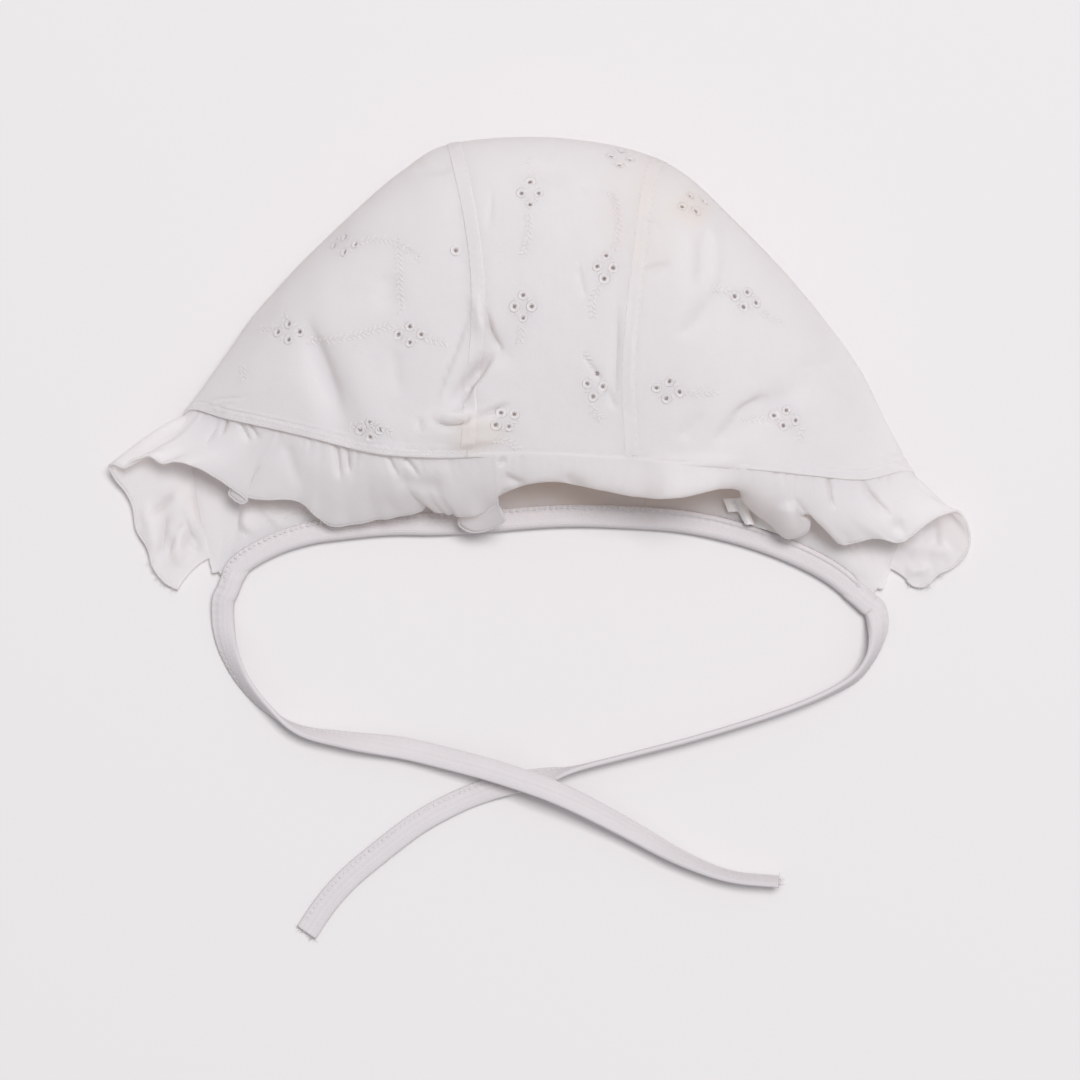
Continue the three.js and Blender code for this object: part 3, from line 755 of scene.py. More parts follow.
# %% [markdown]
# ## The crown's panels
#
# Each panel is one grid between two seams, with more steps on the upper cloth than on the lower.
# Along the face edge the cloth is folded into a sewn hem, so it is a little thicker there, and in
# the two corners the ruffle's ends draw the edge into puckers. The eyelets are true holes: near each
# hole the grid is divided once more, the faces inside it are deleted, and the vertices round it are
# drawn onto the circle.

# %% Places of the eyelets
PANEL_WALL = 0.8
EYELET = 1.7
HEM_WIDTH = 3.6
HEM_RAISE = 0.4
SEAM_GAP_SHARE = 0.0003
V_STEPS = (0, 100, 146, 160, 196)
V_PLACES = (0, ROLL_FROM, FOLD_AT, FLAT_FROM, 1)
V_LENGTHS = (0, 65, 100, 115, 210)
FINE_REACH = 1.2
MOTIFS = [
    (-57.3, 37.5, 0, 3.3, 2.3),
    (-73.8, 11.9, 0, 3.3, 2.3),
    (-37.9, 10.6, 0, 3.3, 2.3),
    (-49.7, -17.0, 0, 3.0, 2.1),
    (-2.9, 51.7, 90, 3.4, 2.5),
    (-4.9, 18.5, 90, 3.3, 2.5),
    (-10.2, -14.2, 30, 3.1, 2.3),
    (23.6, 62.9, 80, 2.4, 2.8),
    (18.9, 29.9, 85, 3.4, 2.3),
    (16.0, -4.2, 80, 3.4, 2.3),
    (44.7, 49.3, 20, 3.4, 2.5),
    (60.0, 21.0, -15, 3.3, 2.3),
    (37.2, -5.6, -10, 3.4, 2.5),
    (71.7, -13.5, -12, 3.3, 2.3),
]


def motif_holes(motif):
    x, y, heading, long, wide = motif
    turn = math.radians(heading)
    for along, across in ((long, 0), (-long, 0), (0, wide), (0, -wide)):
        yield (
            x + along * math.cos(turn) - across * math.sin(turn),
            y + along * math.sin(turn) + across * math.cos(turn),
        )


LONE_HOLE = (-24.5, 35.0)
HOLES = np.array([hole for motif in MOTIFS for hole in motif_holes(motif)] + [LONE_HOLE])


def hole_distance(spots):
    away = spots[:, None, :2] - HOLES[None]
    distance = np.linalg.norm(away, axis=2)
    nearest = distance.argmin(1)
    return distance[np.arange(len(spots)), nearest], nearest


print("eyelets:", len(HOLES))

# %% The sewn hem and the puckered corners
HEM_PLACES = (2.6, 3.4, 7.0, 7.6, 8.9, 9.4, 11.8, 12.6)
HEM_SHARES = (0, 1, 1, 0, 0, 0.35, 0.35, 0)


def hem_share(place):
    """How much of the folded hem shows: all of it on the left, little where the brim turns under."""
    return np.interp(place, HEM_PLACES, HEM_SHARES)


HEM_EASE = (HEM_WIDTH - 0.4, HEM_WIDTH + 0.5)
HEM_SEWN_AT = HEM_WIDTH - 0.7
HEM_DIP = 0.35
HEM_DIP_WIDE = 0.4
HEM_PUCKER = 0.18
HEM_PUCKER_SIZE = 2.2
HEM_PUCKER_STRETCH = 2.2
HEM_PUCKER_REACH = 2.2


def hem_raise(place, v, spots):
    """The folded hem along the face edge, with a dip where it is sewn."""
    from_edge = np.linalg.norm(spots - crown(place, 0 * v), axis=-1)
    raised = HEM_RAISE * (1 - smooth(*HEM_EASE, from_edge))
    dip = HEM_DIP * np.exp(-((from_edge - HEM_SEWN_AT) / HEM_DIP_WIDE) ** 2)
    pucker = HEM_PUCKER * speckle(spots[:, 0] * HEM_PUCKER_STRETCH, spots[:, 1], HEM_PUCKER_SIZE, seed=6)
    pucker *= np.exp(-((from_edge - HEM_PUCKER_REACH) / HEM_PUCKER_REACH) ** 2)
    return (raised - dip + pucker) * (1 - smooth(ROLL_FROM, FOLD_AT, v)) * hem_share(place)


PUCKER_PLACES = (1.6, 3.0, 11.4, 12.6)
PUCKER_REACH = 3.5
PUCKER_WIDE = 0.65
PUCKER_SIZE = 2.4


def corner_pucker(place, v, spots):
    """How far the edge wanders in the two corners, where the ruffle's ends pull at it."""
    from_edge = np.linalg.norm(spots - crown(place, 0 * v), axis=-1)
    corner = np.interp(place, PUCKER_PLACES, (1, 0, 0, 1))
    wander = PUCKER_WIDE * speckle(spots[:, 0], spots[:, 1], PUCKER_SIZE, seed=12)
    near = (1 - smooth(0, PUCKER_REACH, from_edge)) * (1 - smooth(ROLL_FROM, FOLD_AT, v))
    return wander * corner * near


print(f"hem of {HEM_WIDTH} mm")

# %% Panels with cut eyelets
SPREAD_AT = 0.2


def panel_surface(first, last):
    ends = first(FOLD_AT), last(FOLD_AT)
    places, width = even_places(
        lambda p: (crown(p, 0 * p + SPREAD_AT) + crown(p, 0 * p + FOLD_AT)) / 2, *ends)

    def surface(u, step):
        v = np.interp(step * V_STEPS[-1], V_STEPS, V_PLACES)
        share = (places(u) - ends[0]) / (ends[1] - ends[0])
        place = first(v) + (last(v) - first(v)) * share
        spots, out = crown_cloth(place, v)
        spots = spots + out * hem_raise(place, v, spots)[:, None]
        spots[:, 0] += corner_pucker(place, v, spots)
        return spots, out, v

    return surface, width


upper_spots = []
upper_out = []


def panel(name, first, last, steps, node):
    surface, width = panel_surface(first, last)
    bm = unit_grid(steps, V_STEPS[-1])
    u, step = grid_places(bm)
    spots, out, v = surface(u, step)
    distance, _ = hole_distance(spots)
    close = (distance < EYELET * FINE_REACH) & (v < FOLD_AT)
    bm.verts.ensure_lookup_table()
    near_edges = [e for e in bm.edges if close[e.verts[0].index] and close[e.verts[1].index]]
    bmesh.ops.subdivide_edges(bm, edges=near_edges, cuts=1, use_grid_fill=True)
    bm.verts.index_update()
    u, step = grid_places(bm)
    spots, out, v = surface(u, step)
    length = np.interp(step * V_STEPS[-1], V_STEPS, V_LENGTHS)
    lay(bm, spots, np.stack([u * width, length], -1))
    middles = np.array([face.calc_center_median() for face in bm.faces]) / MM
    heights = np.array([max(step[vert.index] for vert in face.verts) for face in bm.faces])
    distance, _ = hole_distance(middles)
    inside = (distance < EYELET / 2) & (heights < V_STEPS[2] / V_STEPS[-1])
    bmesh.ops.delete(bm, geom=[f for f, cut in zip(bm.faces, inside) if cut], context="FACES")
    for vert in bm.verts:
        if not vert.is_boundary:
            continue
        away, nearest = hole_distance(np.array([vert.co]) / MM)
        if away[0] < EYELET:
            middle = HOLES[nearest[0]] * MM
            spoke = Vector((vert.co.x - middle[0], vert.co.y - middle[1]))
            spoke *= EYELET / 2 * MM / spoke.length
            vert.co.x, vert.co.y = middle[0] + spoke.x, middle[1] + spoke.y
    upper = v < FOLD_AT
    upper_spots.append(spots[upper])
    upper_out.append(out[upper])
    return piece_of(name, bm, eyelet_cotton, [node], PANEL_WALL)


def left_of(side):
    return lambda v: seam_at(side, v) - SEAM_GAP_SHARE


def right_of(side):
    return lambda v: seam_at(side, v) + SEAM_GAP_SHARE


LEFT_STEPS = 205
CENTRE_STEPS = 145
RIGHT_STEPS = 200

panel_left = panel("side_panel_left_cloth", lambda v: 0, left_of("left"), LEFT_STEPS, "side_panel_left")
panel_centre = panel("centre_panel_cloth", right_of("left"), left_of("right"), CENTRE_STEPS, "centre_panel")
panel_right = panel("side_panel_right_cloth", right_of("right"), lambda v: LAST_RIB, RIGHT_STEPS,
                    "side_panel_right")
upper_spots = np.concatenate(upper_spots)
upper_out = np.concatenate(upper_out)

# %% [markdown]
# ## Finding the cloth under a point
#
# Stitches, rings and leaves of thread are sewn onto the finished cloth. A search tree over the
# upper cloth's points gives the height and the slope of the cloth under any point of the plan.

# %% Points on the upper cloth
finder = kdtree.KDTree(len(upper_spots))
for index, spot in enumerate(upper_spots):
    finder.insert((spot[0], spot[1], 0), index)
finder.balance()


SLOPE_LEAST = 0.2
RISE_MOST = 0.6


def on_crown(x, y):
    """The cloth's middle over a point of the plan, and the direction out of it."""
    _, index, _ = finder.find((x, y, 0))
    spot = upper_spots[index]
    out = upper_out[index]
    rise = -(out[0] * (x - spot[0]) + out[1] * (y - spot[1])) / max(out[2], SLOPE_LEAST)
    return np.array((x, y, spot[2] + np.clip(rise, -RISE_MOST, RISE_MOST))), out


def sewn_frame(spot, out, heading, sizes, lift):
    """A 4 by 4 frame on the cloth: x along the heading, z out of the cloth, scaled by sizes."""
    along = heading - out * heading.dot(out)
    along = along / max(np.linalg.norm(along), 1e-9)
    across = np.cross(out, along)
    made = np.eye(4)
    made[:3, 0] = along * sizes[0]
    made[:3, 1] = across * sizes[1]
    made[:3, 2] = out * sizes[2]
    made[:3, 3] = spot + out * lift
    return made


def sewn_copies(name, template, frames, material):
    """One mesh of many copies of a small template, one for each frame."""
    spots = np.array([[*vert.co, 1] for vert in template.verts])
    faces = np.array([[vert.index for vert in face.verts] for face in template.faces], dtype=object)
    placed = np.einsum("fij,nj->fni", np.array(frames), spots)[..., :3].reshape(-1, 3) * MM
    count = len(spots)
    all_faces = [[index + k * count for index in face] for k in range(len(frames)) for face in faces]
    mesh = bpy.data.meshes.new(name)
    mesh.from_pydata(placed.tolist(), [], all_faces)
    mesh.uv_layers.new(name="cloth")
    piece = dress(name, mesh, material)
    print(f"{name}: {len(frames)} copies, {len(mesh.polygons)} faces")
    return piece


print("points on the upper cloth:", len(upper_spots))

# %% [markdown]
# ## Embroidery
#
# Each cut eyelet is edged with close satin stitches, and small leaves of thread trail from one
# motif to the next. A ring is a flat torus with a ripple for each stitch, and its inner side sinks
# into the hole as the stitches do. It is made once and copied to every hole in a slightly different
# size. A leaf is a flattened ball of few faces, because there are hundreds of them.

# %% Rings round the eyelets
RING_STITCHES = 10
RING_STEPS = (30, 6)
RING_RADIUS = 0.95
RING_WIDE = 0.6
RING_HIGH = 0.12
RING_SPREAD = 0.14
RING_SINK = 0.5
RING_WIDE_RIPPLE = 0.1
RING_HIGH_RIPPLE = 0.25
RING_SEED = 11


def ring_template():
    bm = unit_grid(*RING_STEPS)
    u, w = grid_places(bm)
    turn = 2 * math.pi * u
    tube = 2 * math.pi * w
    ripple = np.cos(RING_STITCHES * turn)
    radius = RING_RADIUS + RING_WIDE * (1 + RING_WIDE_RIPPLE * ripple) * np.cos(tube)
    sunk = RING_SINK * (1 - smooth(RING_RADIUS - RING_WIDE, RING_RADIUS, radius))
    height = RING_HIGH * (1 + RING_HIGH_RIPPLE * ripple) * np.sin(tube) - sunk
    for vert, r, a, z in zip(bm.verts, radius, turn, height):
        vert.co = (r * math.cos(a), r * math.sin(a), z)
    close_sleeve(bm, TEMPLATE_MERGE)
    return bm


ring_frames = []
ring_chance = np.random.default_rng(RING_SEED)
for x, y in HOLES:
    spot, out = on_crown(x, y)
    heading = unit(np.append(ring_chance.normal(size=2), 0))
    size = 1 + RING_SPREAD * ring_chance.uniform(-1, 1, 2)
    ring_frames.append(sewn_frame(spot, out, heading, (size[0], size[1], 1), PANEL_WALL / 2))
rings = sewn_copies("eyelet_rings", ring_template(), ring_frames, eyelet_cotton)

# %% Leaves and trails of thread
LEAF_PITCH = 1.5
LEAF = (0.95, 0.35, 0.14)
LEAF_LEAN = 0.8
LEAF_LEAN_SPREAD = 0.25
LEAF_REACH = 0.8
MOTIF_LEAF_AT = 2.7
TRAIL_SAMPLES = 60
TRAILS = [
    (-53.0, 38.0, -43.0, 40.5, -35.0, 33.0),
    (-41.5, 40.0, -41.0, 30.0, -40.5, 17.5),
    (-68.5, 9.5, -58.0, 8.0, -43.5, 13.5),
    (-83.5, 12.8, -80.0, 13.5, -78.0, 13.0),
    (-33.5, 9.5, -30.0, 8.5, -27.5, 8.0),
    (-75.5, 19.0, -75.5, 17.0, -75.0, 16.0),
    (-56.5, -16.5, -50.0, -13.8, -43.0, -18.0),
    (-88.0, 3.0, -88.0, 0.5, -87.0, -2.0),
    (-3.5, 46.0, -2.5, 40.0, -5.0, 33.5),
    (-3.0, 57.0, -2.5, 59.5, -3.5, 61.5),
    (-5.5, 13.0, -5.0, 10.5, -6.0, 8.0),
    (20.5, 52.5, 24.5, 44.0, 21.5, 35.0),
    (17.5, 25.0, 14.0, 20.0, 15.5, 15.5),
    (12.0, 5.0, 15.5, 2.5, 15.0, 0.5),
    (15.5, -9.5, 14.5, -12.0, 18.0, -14.0),
    (-14.5, -20.0, -10.0, -19.5, -6.5, -22.5),
    (49.5, 23.5, 53.0, 25.0, 56.0, 22.5),
    (64.0, 18.0, 67.0, 16.0, 70.0, 14.5),
    (42.0, -6.0, 46.5, -7.0, 51.0, -6.0),
    (59.0, -13.5, 63.0, -14.5, 67.0, -14.0),
    (75.5, -16.0, 77.0, -18.0, 76.0, -20.0),
]


def leaf_template():
    bm = bmesh.new()
    bmesh.ops.create_uvsphere(bm, u_segments=6, v_segments=5, radius=1)
    bmesh.ops.rotate(bm, verts=bm.verts, matrix=Matrix.Rotation(math.pi / 2, 3, "Y"))
    bm.verts.index_update()
    return bm


def trail_frames(trail, seed):
    t = np.linspace(0, 1, TRAIL_SAMPLES)
    line, _ = bent_line(trail, t[:, None])
    walked = walk(line)
    for k, at in enumerate(np.arange(0, walked[-1], LEAF_PITCH / 2)):
        share = np.interp(at, walked, t)
        x, y = (np.interp(share, t, line[:, axis]) for axis in range(2))
        _, ahead = bent_line(trail, share)
        lean = LEAF_LEAN + LEAF_LEAN_SPREAD * noise.noise(Vector((x, y, seed)))
        turn = math.atan2(ahead[1], ahead[0]) + (lean if k % 2 else -lean)
        heading = np.array((math.cos(turn), math.sin(turn), 0))
        spot, out = on_crown(x + heading[0] * LEAF_REACH, y + heading[1] * LEAF_REACH)
        yield sewn_frame(spot, out, heading, LEAF, PANEL_WALL / 2)


leaf_frames = [made for k, trail in enumerate(TRAILS) for made in trail_frames(trail, k)]
for x, y, heading, long, wide in MOTIFS:
    for quarter in range(4):
        turn = math.radians(heading) + math.pi / 4 + quarter * math.pi / 2
        pointing = np.array((math.cos(turn), math.sin(turn), 0))
        spot, out = on_crown(x + MOTIF_LEAF_AT * pointing[0], y + MOTIF_LEAF_AT * pointing[1])
        leaf_frames.append(sewn_frame(spot, out, pointing, LEAF, PANEL_WALL / 2))
leaves = sewn_copies("embroidered_leaves", leaf_template(), leaf_frames, eyelet_cotton)

# %% [markdown]
# ## Felled seams
#
# Where two panels meet, their edges are folded into each other and sewn down flat, which leaves a
# raised strip between two rows of stitches. The strip follows the finished cloth along the seam's
# rib, from the face edge over the fold of the crown.

# %% Strips of the felled seams
SEAM_HALF = 2.2
SEAM_RAISE = {"left": 0.3, "right": 0.16}
SEAM_SINK = 0.06
SEAM_EDGE = 10
SEAM_STEPS = (14, 220)
SEAM_END = 0.57
SEAM_OVER = 0.02
SEAM_SHARES = (0, 0.72, 1)
SEAM_PLACES = (0.003, FOLD_AT, SEAM_END)
SEAM_START = (0.002, 0.02)
SEAM_PUCKER = 0.05
SEAM_PUCKER_SIZE = 2.4
SEAM_PUCKER_STRETCH = 0.4
SEAM_LENGTH = 140
SEAM_WALL = 0.45


def seam_spots(side, across, v):
    rib = seam_at(side, v)
    rate = np.linalg.norm(crown(rib + NUDGE, v) - crown(rib - NUDGE, v), axis=-1) / (2 * NUDGE)
    return crown_cloth(rib + across / np.maximum(rate, 1), v)


def seam_strip(name, side):
    bm = unit_grid(*SEAM_STEPS)
    t, u = grid_places(bm)
    across = (2 * t - 1) * SEAM_HALF
    v = np.interp(u, SEAM_SHARES, SEAM_PLACES)
    spots, out = seam_spots(side, across, v)
    ease = (1 - smooth(FOLD_AT - SEAM_OVER, SEAM_END, v)) * smooth(*SEAM_START, v)
    profile = SEAM_RAISE[side] * (1 - np.abs(2 * t - 1) ** SEAM_EDGE) * ease
    wander = speckle(spots[:, 0] * SEAM_PUCKER_STRETCH, spots[:, 1], SEAM_PUCKER_SIZE, seed=11)
    lift = PANEL_WALL / 2 - SEAM_SINK + profile + SEAM_PUCKER * wander * ease
    lay(bm, spots + out * lift[:, None], np.stack([across, u * SEAM_LENGTH], -1))
    return piece_of(name, bm, eyelet_cotton, (), SEAM_WALL, -1)


seam_left = seam_strip("seam_left_fell", "left")
seam_right = seam_strip("seam_right_fell", "right")

# %% [markdown]
# ## Topstitching
#
# A stitch is a short, fat capsule of thread that dips into the cloth at both ends. A function walks
# a line on the cloth and sets a stitch at each pitch, pointing along the line.

# %% Rows of stitches on the crown
STITCH_PITCH = 2.4
ZIGZAG = (0.6, 0.16, 0.13)
STITCH = (0.7, 0.17, 0.09)
STITCH_LOOK = 0.4
SEAM_ROWS = (-0.78, 0.78)
SEAM_ROW_START = 0.004
SEAM_ROW_SAMPLES = 300
HEM_STITCHED = (3.3, 7.2)
HEM_ROW_SAMPLES = 700
HEM_ROWS = [
    (HEM_SEWN_AT, STITCH_PITCH, STITCH, 0),
    (1.9, 0.9, ZIGZAG, 0.8),
    (0.9, 1.1, ZIGZAG, 0.6),
]


def stitch_row(line, outs, pitch=STITCH_PITCH, sizes=STITCH, lift=0.0, lean=0.0):
    """Frames of stitches along a line of spots in millimetres. A lean turns them into a zigzag."""
    walked = walk(line)

    def along(values, place):
        return np.array([np.interp(place, walked, values[:, axis]) for axis in range(3)])

    for k, at in enumerate(np.arange(pitch / 2, walked[-1] - pitch / 2, pitch)):
        out = unit(along(outs, at))
        heading = unit(along(line, at + STITCH_LOOK) - along(line, at - STITCH_LOOK))
        heading = heading + np.cross(out, heading) * (lean if k % 2 else -lean)
        yield sewn_frame(along(line, at), out, heading, sizes, lift)


seam_stitches = []
for side in ("left", "right"):
    for edge in SEAM_ROWS:
        v = np.linspace(SEAM_ROW_START, FOLD_AT + SEAM_OVER, SEAM_ROW_SAMPLES)
        spots, out = seam_spots(side, np.full_like(v, edge * SEAM_HALF), v)
        seam_stitches += stitch_row(spots, out, lift=PANEL_WALL / 2 - SEAM_SINK + SEAM_RAISE[side])
hem_places = np.linspace(*HEM_STITCHED, HEM_ROW_SAMPLES)
spots, out = crown_cloth(hem_places, 0 * hem_places)
inward = unit(crown(hem_places, 0 * hem_places + NUDGE) - crown(hem_places, 0 * hem_places))
for reach, pitch, sizes, lean in HEM_ROWS:
    hem_line = np.array([on_crown(*spot)[0] for spot in (spots + inward * reach)[:, :2]])
    seam_stitches += stitch_row(hem_line, out, pitch, sizes, PANEL_WALL / 2, lean)
crown_stitches = sewn_copies("crown_topstitches", leaf_template(), seam_stitches, eyelet_cotton)

# %% [markdown]
# ## The ruffle
#
# The ruffle is a long strip, gathered onto the face edge. Each row of its table is one turn of the
# free edge: where that stretch is sewn to the face edge, where the hem lies, and how far the cloth
# runs on in the crown's direction before it falls. Between those two ends the cloth is a simple
# curve. The hem has many more rows than the solids' ruffle has, because a flute is a hem that goes
# on, turns back below itself and goes on again. Only the part near the hem follows those turns. The
# cloth above them follows a guide line through the rows that are marked with 1. In the middle the
# ruffle is turned under, so there its hem lies behind the face edge.

# %% Turns of the ruffle's hem
FOLDS = table(
    ("at", "hemX", "hemY", "hemZ", "arch", "guide"),
    [
        (0.25, -108.4, -63.9, 1.6, 4, 1),
        (0.5, -112.3, -61.8, 1.8, 5, 1),
        (0.8, -115.6, -57.5, 2.2, 6, 1),
        (1.2, -117.3, -51.5, 2.6, 6, 1),
        (1.6, -120.6, -46.0, 2.4, 7, 1),
        (2.0, -121.6, -39.5, 2.8, 7, 1),
        (2.35, -123.6, -35.0, 3.2, 7, 1),
        (2.6, -126.4, -31.5, 4.0, 8, 1),
        (2.8, -128.3, -27.6, 6.0, 8, 1),
        (2.95, -126.6, -26.6, 8.5, 8, 1),
        (3.1, -123.6, -27.6, 10.0, 8, 1),
        (3.25, -121.8, -26.2, 11.0, 9, 1),
        (3.4, -119.0, -24.6, 12.0, 9, 1),
        (3.55, -115.8, -24.1, 13.0, 9, 1),
        (3.7, -112.6, -26.0, 13.0, 9, 1),
        (3.85, -110.4, -26.3, 13.5, 9, 1),
        (4.0, -107.9, -25.6, 14.0, 9, 1),
        (4.15, -104.0, -26.6, 14.5, 9, 1),
        (4.3, -99.4, -28.4, 14.0, 9, 1),
        (4.45, -95.2, -31.0, 13.0, 9, 1),
        (4.52, -91.0, -34.0, 12.5, 9, 0),
        (4.58, -87.2, -37.0, 11.5, 9, 0),
        (4.63, -89.0, -38.2, 10.0, 9, 0),
        (4.68, -92.2, -35.6, 9.5, 9, 0),
        (4.74, -91.0, -34.2, 10.0, 9, 0),
        (4.82, -86.8, -36.2, 11.5, 9, 0),
        (4.95, -80.5, -37.1, 12.5, 10, 1),
        (5.1, -74.4, -36.8, 13.0, 10, 1),
        (5.22, -69.6, -38.6, 12.0, 10, 1),
        (5.32, -66.2, -42.0, 10.5, 10, 1),
        (5.45, -62.6, -44.5, 9.0, 10, 1),
        (5.65, -57.0, -44.6, 9.5, 10, 1),
        (5.9, -49.0, -43.0, 10.5, 10, 1),
        (6.2, -41.5, -41.8, 11.5, 10, 1),
        (6.42, -35.4, -40.2, 12.0, 10, 1),
        (6.5, -33.6, -38.9, 13.0, 10, 1),
        (6.58, -31.6, -40.4, 13.5, 10, 1),
        (6.78, -28.5, -41.0, 13.5, 10, 1),
        (6.98, -25.4, -41.4, 14.0, 10, 1),
        (7.12, -23.6, -42.0, 15.0, 11, 1),
        (7.22, -20.2, -41.9, 16.0, 11, 1),
        (7.32, -16.4, -40.5, 16.5, 11, 1),
        (7.42, -12.3, -40.5, 16.3, 12, 1),
        (7.5, -10.5, -43.0, 14.8, 12, 1),
        (7.53, -13.2, -45.2, 11.8, 12, 0),
        (7.56, -18.4, -46.7, 9.6, 12, 0),
        (7.59, -22.2, -46.0, 9.0, 12, 0),
        (7.62, -24.0, -43.4, 9.5, 12, 0),
        (7.66, -19.0, -38.5, 11.0, 12, 0),
        (7.72, -10.0, -31.5, 14.5, 14, 1),
        (7.8, -4.0, -26.0, 16.0, 15, 1),
        (8.0, 8.0, -20.5, 16.0, 17, 1),
        (8.5, 32.0, -22.5, 15.0, 23, 1),
        (8.85, 53.0, -24.0, 16.0, 14, 1),
        (9.0, 58.4, -31.0, 15.5, 11, 1),
        (9.1, 60.4, -37.9, 14.5, 10, 1),
        (9.2, 64.1, -41.2, 13.0, 10, 1),
        (9.35, 68.2, -44.2, 11.5, 10, 1),
        (9.48, 72.7, -48.0, 10.5, 10, 0),
        (9.56, 76.2, -48.1, 10.5, 10, 0),
        (9.64, 79.3, -46.4, 11.5, 10, 0),
        (9.7, 80.0, -43.6, 13.0, 11, 0),
        (9.76, 78.4, -41.4, 13.5, 11, 0),
        (9.84, 80.9, -39.2, 13.0, 11, 0),
        (9.93, 83.5, -40.6, 13.0, 10, 0),
        (10.02, 84.8, -45.4, 12.5, 10, 0),
        (10.12, 88.2, -49.4, 11.5, 10, 1),
        (10.28, 91.7, -50.1, 11.0, 10, 1),
        (10.5, 96.6, -48.8, 11.5, 10, 1),
        (10.7, 101.6, -48.6, 12.0, 10, 1),
        (10.9, 106.2, -49.8, 11.5, 10, 1),
        (11.15, 110.2, -47.8, 12.0, 9, 1),
        (11.4, 115.0, -43.8, 13.0, 8, 1),
        (11.7, 120.2, -41.2, 12.5, 6, 1),
        (11.9, 123.8, -40.8, 11.0, 6, 1),
        (12.05, 126.6, -43.4, 9.0, 6, 1),
        (12.25, 128.1, -48.6, 6.5, 6, 1),
        (12.5, 127.2, -53.2, 4.5, 6, 1),
        (12.8, 123.4, -57.2, 3.0, 7, 1),
        (13.1, 119.1, -59.4, 2.5, 6, 1),
        (13.4, 115.4, -62.9, 1.8, 4, 1),
        (13.6, 112.0, -62.8, 1.6, 3, 1),
        (13.72, 110.0, -61.2, 1.5, 3, 1),
    ],
)
LAST_FOLD = len(FOLDS["at"]) - 1
HEM_REST = 1
RUFFLE_WALL = 0.7
GUIDE_REACH = 0.1
GUIDE_SAMPLES = 600
WALK_SAMPLES = 1200
HEM_POWER = 4
RUFFLE_STEPS = (1250, 36)
ROOT_PLACES = (2.0, 3.2, 6.9, 7.4, 9.0, 9.4, 11.6, 12.4)
ROOT_TUCK = (0.8, 1.6, 1.6, 1.6, 1.6, 1.2, 1.2, 0.8)
ROOT_DROP = (0.15, 0.85, 0.85, -0.15, -0.15, 0.35, 0.35, 0.15)


print("turns of the hem:", LAST_FOLD + 1)

# %% The ruffle from its seam to its hem
def face_edge(place):
    """The sewn face edge: its spot, the way out of the cloth's edge and the way out of its face."""
    edge, _ = crown_cloth(place, 0 * place)
    inner, _ = crown_cloth(place, 0 * place + NUDGE)
    ahead, _ = crown_cloth(np.minimum(place + NUDGE, LAST_RIB), 0 * place)
    behind, _ = crown_cloth(np.maximum(place - NUDGE, 0), 0 * place)
    run = unit(ahead - behind)
    out = edge - inner
    out = unit(out - run * (out * run).sum(-1, keepdims=True))
    return edge, out, np.cross(run, -out)


guide_rows = FOLDS["guide"] > 0
guide_at = np.linspace(FOLDS["at"][0], FOLDS["at"][-1], GUIDE_SAMPLES)
guide_reach = np.exp(-((guide_at[:, None] - guide_at) / GUIDE_REACH) ** 2)
guide_reach /= guide_reach.sum(1, keepdims=True)
guide_line = np.stack([
    guide_reach @ np.interp(guide_at, FOLDS["at"][guide_rows], FOLDS[name][guide_rows])
    for name in ("hemX", "hemY", "hemZ")
], 1)


def ruffle(along, w):
    fold = {name: column(FOLDS, name, along)[:, None] for name in FOLDS}
    edge, out, up = face_edge(fold["at"][:, 0])
    w = w[:, None]
    tuck = np.interp(fold["at"], ROOT_PLACES, ROOT_TUCK)
    drop = np.interp(fold["at"], ROOT_PLACES, ROOT_DROP)
    root = edge - out * tuck - up * drop
    knee = edge + out * fold["arch"] - up * drop / 2
    hem = np.concatenate([fold["hemX"], fold["hemY"], np.maximum(fold["hemZ"], HEM_REST)], 1)
    guide = np.stack([np.interp(fold["at"][:, 0], guide_at, guide_line[:, axis]) for axis in range(3)], 1)
    spots = root * (1 - w) ** 2 + knee * 2 * w * (1 - w) + guide * w * w
    return spots + (hem - guide) * w ** HEM_POWER


hem_walk, hem_length = even_places(lambda a: ruffle(a, 0 * a + 1), 0, LAST_FOLD, WALK_SAMPLES)
root_walk, root_length = even_places(lambda a: ruffle(a, 0 * a), 0, LAST_FOLD, WALK_SAMPLES)
print(f"ruffle: {root_length:.0f} mm along the seam, {hem_length:.0f} mm along the hem")

# %% [markdown]
# Gathers are short valleys that start at the seam. Most come from a seeded draw, as they do from a
# running stitch that is pulled tight. The ones that show best, and the wrinkles of the two ends,
# have rows of their own, like the creases of the crown.

